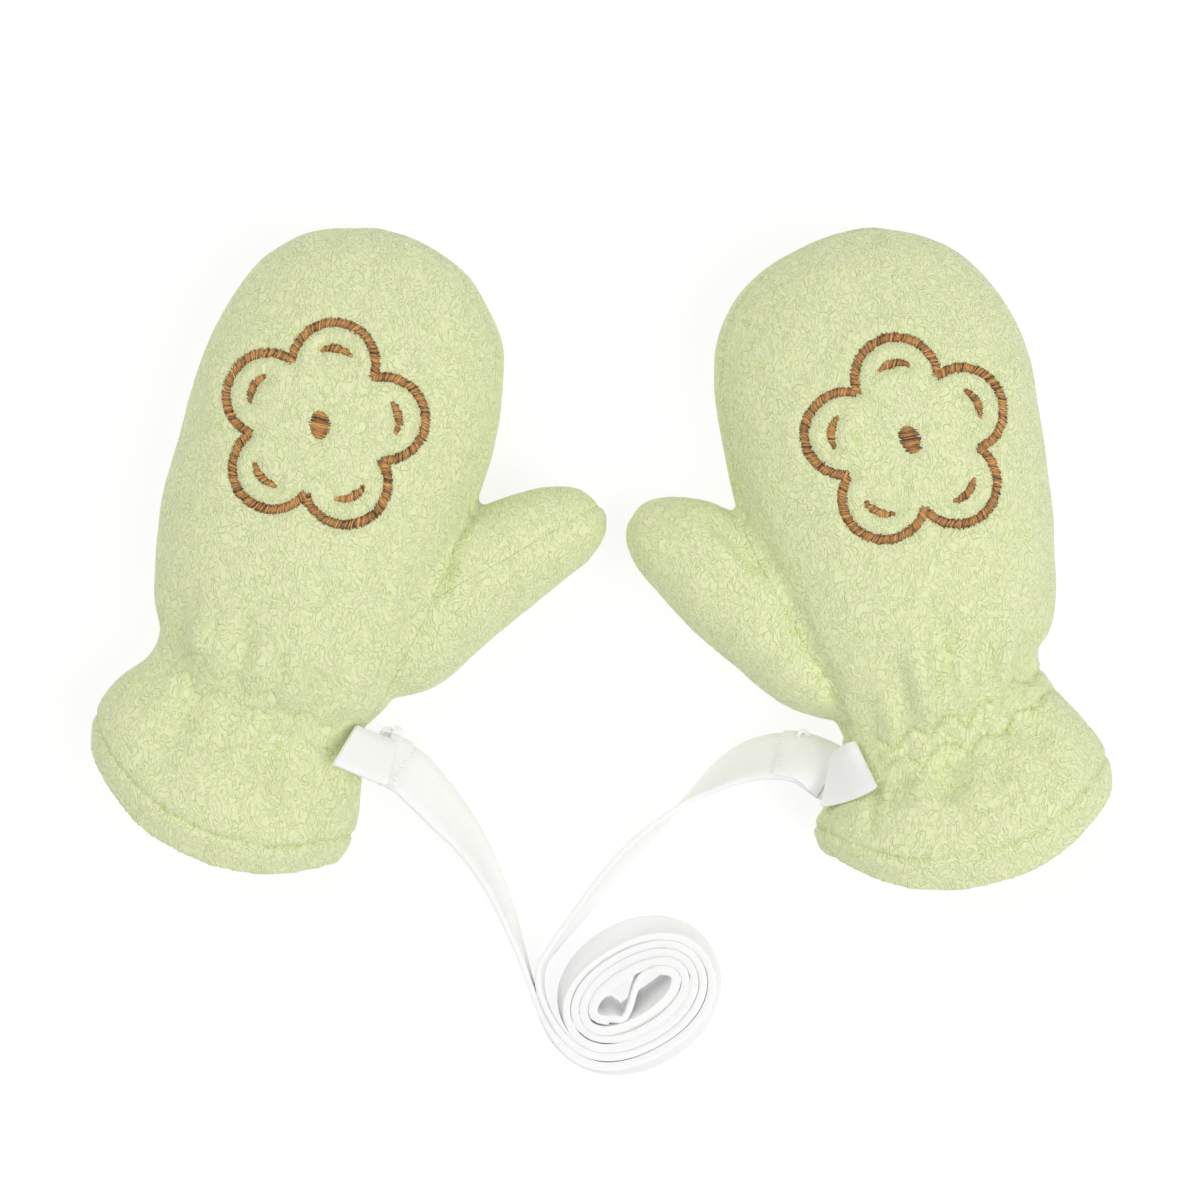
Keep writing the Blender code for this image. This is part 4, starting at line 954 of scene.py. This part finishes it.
# ----------------------------------------------------------- the embroidery
def flower_lines(centre, size, turn):
    """Plan lines of a plain five-petal flower: (points, kind, band width). A disc's line is its middle."""
    far, round_it = 0.60 * size, 0.40 * size
    angle = np.linspace(0, 2 * math.pi, 220, endpoint=False)
    off = (angle + math.pi / 5) % (2 * math.pi / 5) - math.pi / 5
    radius = far * np.cos(off) + np.sqrt(np.maximum(round_it**2 - (far * np.sin(off)) ** 2, 0.0))
    lines = [(np.stack([radius * np.cos(angle), radius * np.sin(angle)], 1), "closed", 2.5)]
    spot = 0.125 * size
    lines.append((np.array([(-spot, -0.3), (0.0, 0.0), (spot, 0.3)]), "disc", 1.75 * spot))
    for k in range(5):
        middle = 2 * math.pi * k / 5
        t = np.linspace(-0.80, 0.80, 24)
        arc = np.stack([far * 0.98 + round_it * 0.40 * np.cos(t), round_it * 0.52 * np.sin(t)], 1)
        c, s = math.cos(middle), math.sin(middle)
        lines.append((arc @ np.array([[c, s], [-s, c]]), "crescent", 2.3))
    c, s = math.cos(math.radians(turn)), math.sin(math.radians(turn))
    return [(np.asarray(line) @ np.array([[c, s], [-s, c]]) + centre, kind, width) for line, kind, width in lines]


def lines_distance(lines):
    def far(points):
        best = np.full(len(points), 99.0)
        low = np.min([line.min(0) for line, _, _ in lines], axis=0) - 12
        high = np.max([line.max(0) for line, _, _ in lines], axis=0) + 12
        near = ((points[:, :2] > low) & (points[:, :2] < high)).all(1) & (points[:, 2] > 25)
        if not near.any():
            return best
        for line, kind, width in lines:
            run = np.concatenate([line, line[:1]]) if kind == "closed" else line
            found, _ = line_distance(points[near, :2], run[:: 2 if len(run) > 60 else 1])
            best[near] = np.minimum(best[near], found)
        return best

    return far


STRAND_SIDES = 6
STRAND_RING = np.linspace(0, 2 * math.pi, STRAND_SIDES, endpoint=False)


def strand_of(centre, beside, thick):
    """Closed round strand along a run of places."""
    heading = np.gradient(centre, axis=0)
    heading /= np.linalg.norm(heading, axis=1)[:, None]
    up = np.cross(heading, beside)
    up /= np.linalg.norm(up, axis=1)[:, None]
    across = np.cross(up, heading)
    ring = STRAND_RING
    rings = centre[:, None] + thick[:, None, None] * (across[:, None] * np.cos(ring)[None, :, None] + up[:, None] * np.sin(ring)[None, :, None])
    n, m = len(centre), STRAND_SIDES
    quads = faces_of_rings(n, m)
    fan = np.arange(1, m - 1)
    first = np.stack([np.zeros(m - 2, int), fan + 1, fan], 1)
    return rings.reshape(-1, 3), np.concatenate([quads[:, [0, 1, 2]], quads[:, [0, 2, 3]], first, first[:, ::-1] + (n - 1) * m])


def strands_object(name, strands, tones_and_highlights, material):
    places, faces, base = [], [], 0
    for points, tris in strands:
        if np.linalg.det(points[tris] - points.mean(0)).sum() < 0:
            tris = tris[:, ::-1]
        places.append(points)
        faces.append(tris + base)
        base += len(points)
    obj = mesh_object(name, np.concatenate(places), np.concatenate(faces))
    point_values(obj, "strand", np.concatenate(tones_and_highlights))
    obj.data.materials.append(material)
    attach(obj, "root")
    print("STITCHES", name, len(strands), "triangles", sum(len(f) for f in faces))
    return obj


def embroidery(name, lines, surface, seed):
    """Satin stitches laid side by side across each line, on the cloth."""
    rng = np.random.default_rng(seed)
    points, tris = surface[1] * MM, surface[2]
    tree = BVHTree.FromPolygons([Vector(p) for p in points], [tuple(t) for t in tris.tolist()])

    def height(x, y):
        hit = tree.ray_cast(Vector((x * MM, y * MM, 0.1)), Vector((0, 0, -1)))
        return hit[0].z / MM if hit[0] is not None else 40.0

    stations = 7
    strands, tones_and_highlights = [], []
    for line, kind, width in lines:
        closed = kind == "closed"
        run = np.concatenate([line, line[:1]]) if closed else line
        step = np.concatenate([[0.0], np.cumsum(np.linalg.norm(np.diff(run, axis=0), axis=1))])
        count = int(step[-1] / 0.32)
        at = np.linspace(0, step[-1], count, endpoint=not closed)
        x, y = np.interp(at, step, run[:, 0]), np.interp(at, step, run[:, 1])
        ahead, behind = at + 0.3, at - 0.3
        if closed:
            ahead, behind = ahead % step[-1], behind % step[-1]
        else:
            ahead, behind = np.minimum(ahead, step[-1]), np.maximum(behind, 0.0)
        dx = np.interp(ahead, step, run[:, 0]) - np.interp(behind, step, run[:, 0])
        dy = np.interp(ahead, step, run[:, 1]) - np.interp(behind, step, run[:, 1])
        size = np.hypot(dx, dy)
        dx, dy = dx / size, dy / size
        drift = 0.0
        for k in range(count):
            place = 2 * (k + 0.5) / count - 1
            taper = {"closed": 1.0, "disc": math.sqrt(1 - place**2) ** 0.9, "crescent": 0.30 + 0.70 * (1 - place**2)}[kind]
            drift = 0.75 * drift + 0.06 * rng.standard_normal()
            half = width / 2 * taper * (1 + 0.09 * rng.standard_normal())
            slant = 0.42 + 0.10 * rng.standard_normal() + drift
            shift = 0.10 * rng.standard_normal() + 0.4 * drift
            t = np.linspace(-1, 1, stations)
            px = x[k] - dy[k] * (half * t + shift) + dx[k] * slant * t * taper
            py = y[k] + dx[k] * (half * t + shift) + dy[k] * slant * t * taper
            h0, h1, h2 = (height(px[i], py[i]) for i in (0, stations // 2, stations - 1))
            ground = np.interp(t, [-1, 0, 1], [h0, h1, h2])
            rise = (0.72 + 0.09 * rng.standard_normal()) * (0.6 + 0.4 * taper)
            pz = ground - 0.22 + rise * np.sqrt(np.maximum(1 - t**2, 0.0)) ** 0.8
            thick = 0.165 * (1 + 0.08 * rng.standard_normal()) * (0.70 + 0.30 * np.sqrt(1 - 0.9 * t**2))
            strands.append(strand_of(np.stack([px, py, pz], 1), np.array([dx[k], dy[k], 0.0]), thick))
            tone = 0.15 + 0.18 * rng.standard_normal()
            # painted highlight: each stitch is lighter along its middle and darker towards its ends, on top of its own
            # random tone
            tones_and_highlights.append(np.repeat(tone + 0.42 * (1 - np.abs(t + 0.1 * rng.standard_normal()) ** 1.5), STRAND_SIDES))
    return strands_object(name, strands, tones_and_highlights, THREAD)


# ------------------------------------------------------------------ the tape
PROFILE = [
    (-1, -0.74), (-0.982, -0.97), (-0.6, -1), (-0.2, -1), (0.2, -1), (0.6, -1), (0.982, -0.97), (1, -0.74),
    (1, 0.74), (0.982, 0.97), (0.6, 1), (0.2, 1), (-0.2, 1), (-0.6, 1), (-0.982, 0.97), (-1, 0.74),
]


def swept(centres, widths, thick, width, square=True):
    """Flat tape swept along a line: points, faces, places on the knit in mm, length."""
    centres, widths = np.asarray(centres, float), np.asarray(widths, float)
    along = np.gradient(centres, axis=0)
    along /= np.linalg.norm(along, axis=1)[:, None]
    if square:
        widths = widths - along * (widths * along).sum(1)[:, None]
    widths /= np.linalg.norm(widths, axis=1)[:, None]
    third = np.cross(along, widths)
    third /= np.linalg.norm(third, axis=1)[:, None]
    thick = np.broadcast_to(np.asarray(thick, float), len(centres))
    profile = np.array(PROFILE, float)
    n, m = len(centres), len(profile)
    a, b = profile[:, 0][None, :, None], profile[:, 1][None, :, None]
    grid = centres[:, None] + widths[:, None] * a * width / 2 + third[:, None] * b * thick[:, None, None] / 2
    quads = faces_of_rings(n, m)
    fan = np.arange(1, m - 1)
    first = np.stack([np.zeros(m - 2, int), fan + 1, fan], 1)
    faces = np.concatenate([quads[:, [0, 1, 2]], quads[:, [0, 2, 3]], first, first[:, ::-1] + (n - 1) * m])
    points = grid.reshape(-1, 3)
    if np.linalg.det(points[faces] - points.mean(0)).sum() < 0:
        faces = faces[:, ::-1]
    length = np.concatenate([[0.0], np.cumsum(np.linalg.norm(np.diff(centres, axis=0), axis=1))])
    return points, faces, np.stack([np.tile((profile[:, 0] + 1) * width / 2, n), np.repeat(length, m)], 1), length[-1]


def tape(name, parts):
    """One object of lengths of tape."""
    base, points, faces, places = 0, [], [], []
    for p, f, place, _ in parts:
        points.append(p)
        faces.append(f + base)
        places.append(place)
        base += len(p)
    obj = mesh_object(name, np.concatenate(points), np.concatenate(faces))
    obj.data.set_sharp_from_angle(angle=math.radians(60))
    places = np.concatenate(places)
    layer = obj.data.uv_layers.new(name="tape")
    index = np.empty(len(obj.data.loops), np.int32)
    obj.data.loops.foreach_get("vertex_index", index)
    layer.data.foreach_set("uv", places[index].astype(np.float32).ravel())
    obj.data.materials.append(TAPE)
    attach(obj, "root")
    return obj, sum(part[3] for part in parts)


def width_vector(heading, tilt):
    """Across a tape that heads along (x, y): its left edge goes down as the tilt grows."""
    heading = np.asarray(heading, float) / np.linalg.norm(heading)
    angle = math.radians(tilt)
    return np.array([-heading[1] * math.cos(angle), heading[0] * math.cos(angle), -math.sin(angle)])


def lead_line(table, count=40):
    rows = np.array(table, float)
    length = np.concatenate([[0.0], np.cumsum(np.linalg.norm(np.diff(rows[:, :3], axis=0), axis=1))])
    v = through(length, rows, np.linspace(0.0, length[-1], count))
    heading = np.gradient(v[:, :2], axis=0)
    return v[:, :3], np.array([width_vector(h, t) for h, t in zip(heading, v[:, 3])])


def layer_point(psi, layer):
    """Place of the middle of the wound tape, and the way to the roll's middle."""
    lean = math.radians(ROLL_TURN)
    a = ROLL_HALF[0] - 0.95 - ROLL_PITCH[0] * layer
    b = ROLL_HALF[1] - 0.95 - ROLL_PITCH[1] * layer
    c, s = math.cos(math.radians(psi)), math.sin(math.radians(psi))
    x, y = a * power(c, 0.95), b * power(s, 0.95)
    inward = -np.array([c / max(a, 1e-6), s / max(b, 1e-6)])
    inward /= np.linalg.norm(inward)
    turn = np.array([[math.cos(lean), -math.sin(lean)], [math.sin(lean), math.cos(lean)]])
    return turn @ np.array([x, y]) + ROLL_CENTRE, turn @ inward


def lean_of(psi, layer):
    side = math.sin(math.radians(psi))
    outer = (8.0 + 12.0 * side**2 + 3.0 * side) * np.interp(layer, [0, 1, 2, 3, 4, 5], [1.0, 0.82, 0.6, 0.38, 0.2, 0.1])
    back = 20.0 * ease(layer, 3.9, 4.6) * max(0.0, math.sin(math.radians(psi - 172.0))) ** 0.7
    return float(outer - back)


def room_of(psi, layer):
    """Thickness that fills the room up to the next turn, at the upper edge."""
    c, side = math.cos(math.radians(psi)), math.sin(math.radians(psi))
    a, b = ROLL_HALF[0] - ROLL_PITCH[0] * layer, ROLL_HALF[1] - ROLL_PITCH[1] * layer
    pitch = (ROLL_PITCH[0] * c * c / a + ROLL_PITCH[1] * side * side / b) / math.hypot(c / a, side / b)
    now, after = (math.sin(math.radians(max(lean_of(psi, k), 0.0))) for k in (layer, layer + 1))
    return float(np.clip(pitch + TAPE_WIDTH * (after - now) - 0.05, 1.2, 3.9))


def wound(start, stop, first_layer, step=6.0):
    """One arm of the winding, from outside to inside: places and width vectors (the lower edge's way)."""
    places, ways, rooms = [], [], []
    for psi in np.arange(start, stop + 0.1, step):
        layer = first_layer + 2 * (psi - 170.0) / 360.0
        (x, y), inward = layer_point(psi, layer)
        lean = math.radians(lean_of(psi, layer))
        # the outer turns lean in at the top; the innermost one lies back at the lower side and shows its face
        x, y = np.array([x, y]) + inward * abs(math.sin(lean)) * TAPE_WIDTH / 2
        lift = 0.25 * math.sin(math.radians(psi * 0.71 + 60 * first_layer)) + 0.12 * math.sin(math.radians(psi * 1.9))
        places.append((x, y, TAPE_WIDTH / 2 * math.cos(lean) + 0.35 + max(lift, -0.2)))
        ways.append((-inward[0] * math.sin(lean), -inward[1] * math.sin(lean), -math.cos(lean)))
        rooms.append(room_of(psi, layer))
    return np.array(places), np.array(ways), np.array(rooms)


def strap():
    """The whole long tape: left lead, winding inwards, S in the middle, winding outwards, right lead."""
    left, left_ways = lead_line(LEFT_LEAD)
    right, right_ways = lead_line(RIGHT_LEAD)
    arm_a, ways_a, room_a = wound(196.0, 1112.0, 0.0)
    arm_b, ways_b, room_b = wound(206.0, 938.0, 1.0)
    lean = math.radians(ROLL_TURN)
    turn = np.array([[math.cos(lean), -math.sin(lean)], [math.sin(lean), math.cos(lean)]])
    middle = [(*(turn @ np.array(p) + ROLL_CENTRE), 7.75) for p in MIDDLE]
    places = np.concatenate([left, arm_a, middle, arm_b[::-1], right[::-1]])
    ways = np.concatenate([left_ways, ways_a, np.tile([0.0, 0.0, -1.0], (len(middle), 1)), ways_b[::-1], -right_ways[::-1]])
    room = np.concatenate([np.full(len(left), 1.5), room_a, np.full(len(middle), 1.7), room_b[::-1], np.full(len(right), 1.5)])
    length = np.concatenate([[0.0], np.cumsum(np.linalg.norm(np.diff(places, axis=0), axis=1))])
    at = np.linspace(0.0, length[-1], int(length[-1] / 1.1))
    line = through(length, np.column_stack([places, ways]), at)
    thick = np.interp(at, length, room)
    parts = [swept(line[:, :3], line[:, 3:], thick, TAPE_WIDTH)]
    total = parts[0][3]
    stitches = []
    for table, hand in ((LEFT_LEAD, 1), (RIGHT_LEAD, 1)):
        # the tape's end is turned back on itself and sewn down
        lead, lead_ways = lead_line(table, 160)
        run = np.concatenate([[0.0], np.cumsum(np.linalg.norm(np.diff(lead, axis=0), axis=1))])
        low, high = (1.2, DOUBLED[0]) if table is LEFT_LEAD else (1.2, DOUBLED[1])
        part = (run >= low) & (run <= high)
        along = np.gradient(lead, axis=0)
        up = np.cross(along, lead_ways)
        up /= np.linalg.norm(up, axis=1)[:, None]
        up *= np.sign(up[:, 2:3])
        top = lead + up * (0.75 + 0.45 + 0.03)
        parts.append(swept(top[part], lead_ways[part], 0.9 * ease(high - run[part], -0.6, 0.6) + 0.05, TAPE_WIDTH - 0.3))
        k = int(np.searchsorted(run, high - 1.1))
        ahead = along[k] / np.linalg.norm(along[k])
        for across in np.linspace(-5.9, 5.9, 9):
            t = np.linspace(-1, 1, 5)[:, None]
            centre = top[k] + lead_ways[k] * (across + 0.12 * t) + ahead * 0.55 * t + up[k] * (0.44 + 0.08 * (1 - t**2))
            stitches.append(strand_of(centre, lead_ways[k], 0.11 * (0.8 + 0.2 * np.sqrt(1 - 0.9 * t[:, 0] ** 2))))
    obj, _ = tape("strap_tape", parts)
    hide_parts("strap_left", "strap_right", "strap_roll")
    sewn = strands_object("strap_stitches", stitches, [np.full(len(p), 0.9) for p, _ in stitches], SEWING)
    print("TAPE length", round(total, 1), "mm, thickness in the roll", round(float(min(room_a.min(), room_b.min())), 2), round(float(max(room_a.max(), room_b.max())), 2))
    return obj, total, sewn


def tab(name, node, upper, lower, folds):
    """Short tape sewn into the side seam: its upper and lower layer hold the strap's end, and small folds stand at its edge."""
    parts = []
    for table in (upper, lower):
        rows = np.array([(*unseen(u, v, z), z, tilt, turn) for u, v, z, tilt, turn in table])
        length = np.concatenate([[0.0], np.cumsum(np.linalg.norm(np.diff(rows[:, :3], axis=0), axis=1))])
        v = through(length, rows, np.linspace(0.0, length[-1], 40))
        ways = [width_vector((math.cos(math.radians(t)), math.sin(math.radians(t))), tilt) for tilt, t in v[:, 3:]]
        parts.append(swept(v[:, :3], ways, 1.2, TAPE_WIDTH - (0.8 if table is upper else 4.4), square=False))
    for line, height, middle in folds:
        rows = np.array([(*unseen(u, v, middle), middle) for u, v in line])
        length = np.concatenate([[0.0], np.cumsum(np.linalg.norm(np.diff(rows, axis=0), axis=1))])
        v = through(length, rows, np.linspace(0.0, length[-1], 48))
        parts.append(swept(v, np.tile([0.0, 0.0, -1.0], (len(v), 1)), 1.10, height))
    obj, _ = tape(name, parts)
    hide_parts(node)
    return obj, parts[0][3] + parts[1][3]


# ----------------------------------------------------------------- the scene
def light(name, place, size, strength, aim=(0.0, -0.02, 0.0), colour=(1, 1, 1)):
    data = bpy.data.lights.new(name, "AREA")
    data.shape, data.size, data.energy, data.color = "SQUARE", size, strength, colour
    obj = bpy.data.objects.new(name, data)
    obj.location = place
    obj.rotation_euler = (Vector(aim) - Vector(place)).to_track_quat("-Z", "Y").to_euler()
    bpy.context.scene.collection.objects.link(obj)
    return obj


def studio():
    ground = mesh_object("ground", [(-6000, -6000, 0), (6000, -6000, 0), (6000, 6000, 0), (-6000, 6000, 0)], [(0, 1, 2, 3)])
    made, tree, shader = nodes_for("ground_white")
    cloudy = add(tree, "ShaderNodeTexNoise", {"Vector": add(tree, "ShaderNodeTexCoord").outputs["Object"], "Scale": 3.0}).outputs["Fac"]
    tree.links.new(ramp(tree, cloudy, [(0.0, (0.23, 0.23, 0.23)), (1.0, (0.24, 0.24, 0.24))]), shader.inputs["Base Color"])
    shader.inputs["Roughness"].default_value = 0.9
    shader.inputs["Specular IOR Level"].default_value = 0.0
    shader.inputs["Emission Color"].default_value = (1.0, 1.0, 1.0, 1.0)
    shader.inputs["Emission Strength"].default_value = 0.80
    ground.data.materials.append(made)
    world = bpy.data.worlds.new("studio")
    bpy.context.scene.world = world
    world.use_nodes = True
    world.node_tree.nodes["Background"].inputs["Color"].default_value = (1.0, 1.0, 1.0, 1.0)
    world.node_tree.nodes["Background"].inputs["Strength"].default_value = 0.42
    light("key", (0.85, -0.5, 1.3), 1.2, 14.5)
    light("fill", (-0.8, 0.7, 1.4), 1.5, 11.5)
    camera = bpy.data.objects.new("camera", bpy.data.cameras.new("camera"))
    camera.location = (CAMERA[0] * MM, CAMERA[1] * MM, CAMERA[2] * MM)
    camera.rotation_euler = (0.0, 0.0, 0.0)
    camera.data.sensor_width = 36.0
    camera.data.lens = 36.0 * (CAMERA[2] - PLANE) / (1200 * UNIT)
    camera.data.clip_start, camera.data.clip_end = 0.02, 30.0
    bpy.context.scene.collection.objects.link(camera)
    bpy.context.scene.camera = camera
    bpy.context.scene.view_settings.view_transform = "Standard"


def main():
    left_centre = np.array(unseen(320.0, 425.0, 46.0))
    right_centre = np.array(unseen(910.0, 440.0, 46.0))
    left_lines = flower_lines(left_centre, 26.5, 78.0)
    right_lines = flower_lines(right_centre, 26.5, 102.0)
    left = mitten(
        "L", LEFT_BODY, LEFT_THUMB, LEFT_FOLDS, LEFT_BACK_PLAN, LEFT_UPPER_PLAN, None, LEFT_STITCHES, LEFT_CREASES, 0.46,
        lines_distance(left_lines),
    )
    right = mitten(
        "R", RIGHT_BODY, RIGHT_THUMB, RIGHT_FOLDS, RIGHT_BACK_PLAN, RIGHT_UPPER_PLAN, RIGHT_THUMB_UNDER_PLAN, RIGHT_STITCHES, RIGHT_CREASES, 0.80,
        lines_distance(right_lines),
    )
    flowers = [embroidery("L_flower_stitches", left_lines, left["back"], 11), embroidery("R_flower_stitches", right_lines, right["back"], 23)]
    left_tab, left_length = tab("L_tab_tape", "L_tape_loop", LEFT_TAB, LEFT_TAB_LOWER, LEFT_TAB_FOLDS)
    right_tab, right_length = tab("R_tab_tape", "R_tape_loop", RIGHT_TAB, RIGHT_TAB_LOWER, RIGHT_TAB_FOLDS)
    long_tape, total, sewn = strap()
    studio()


main()
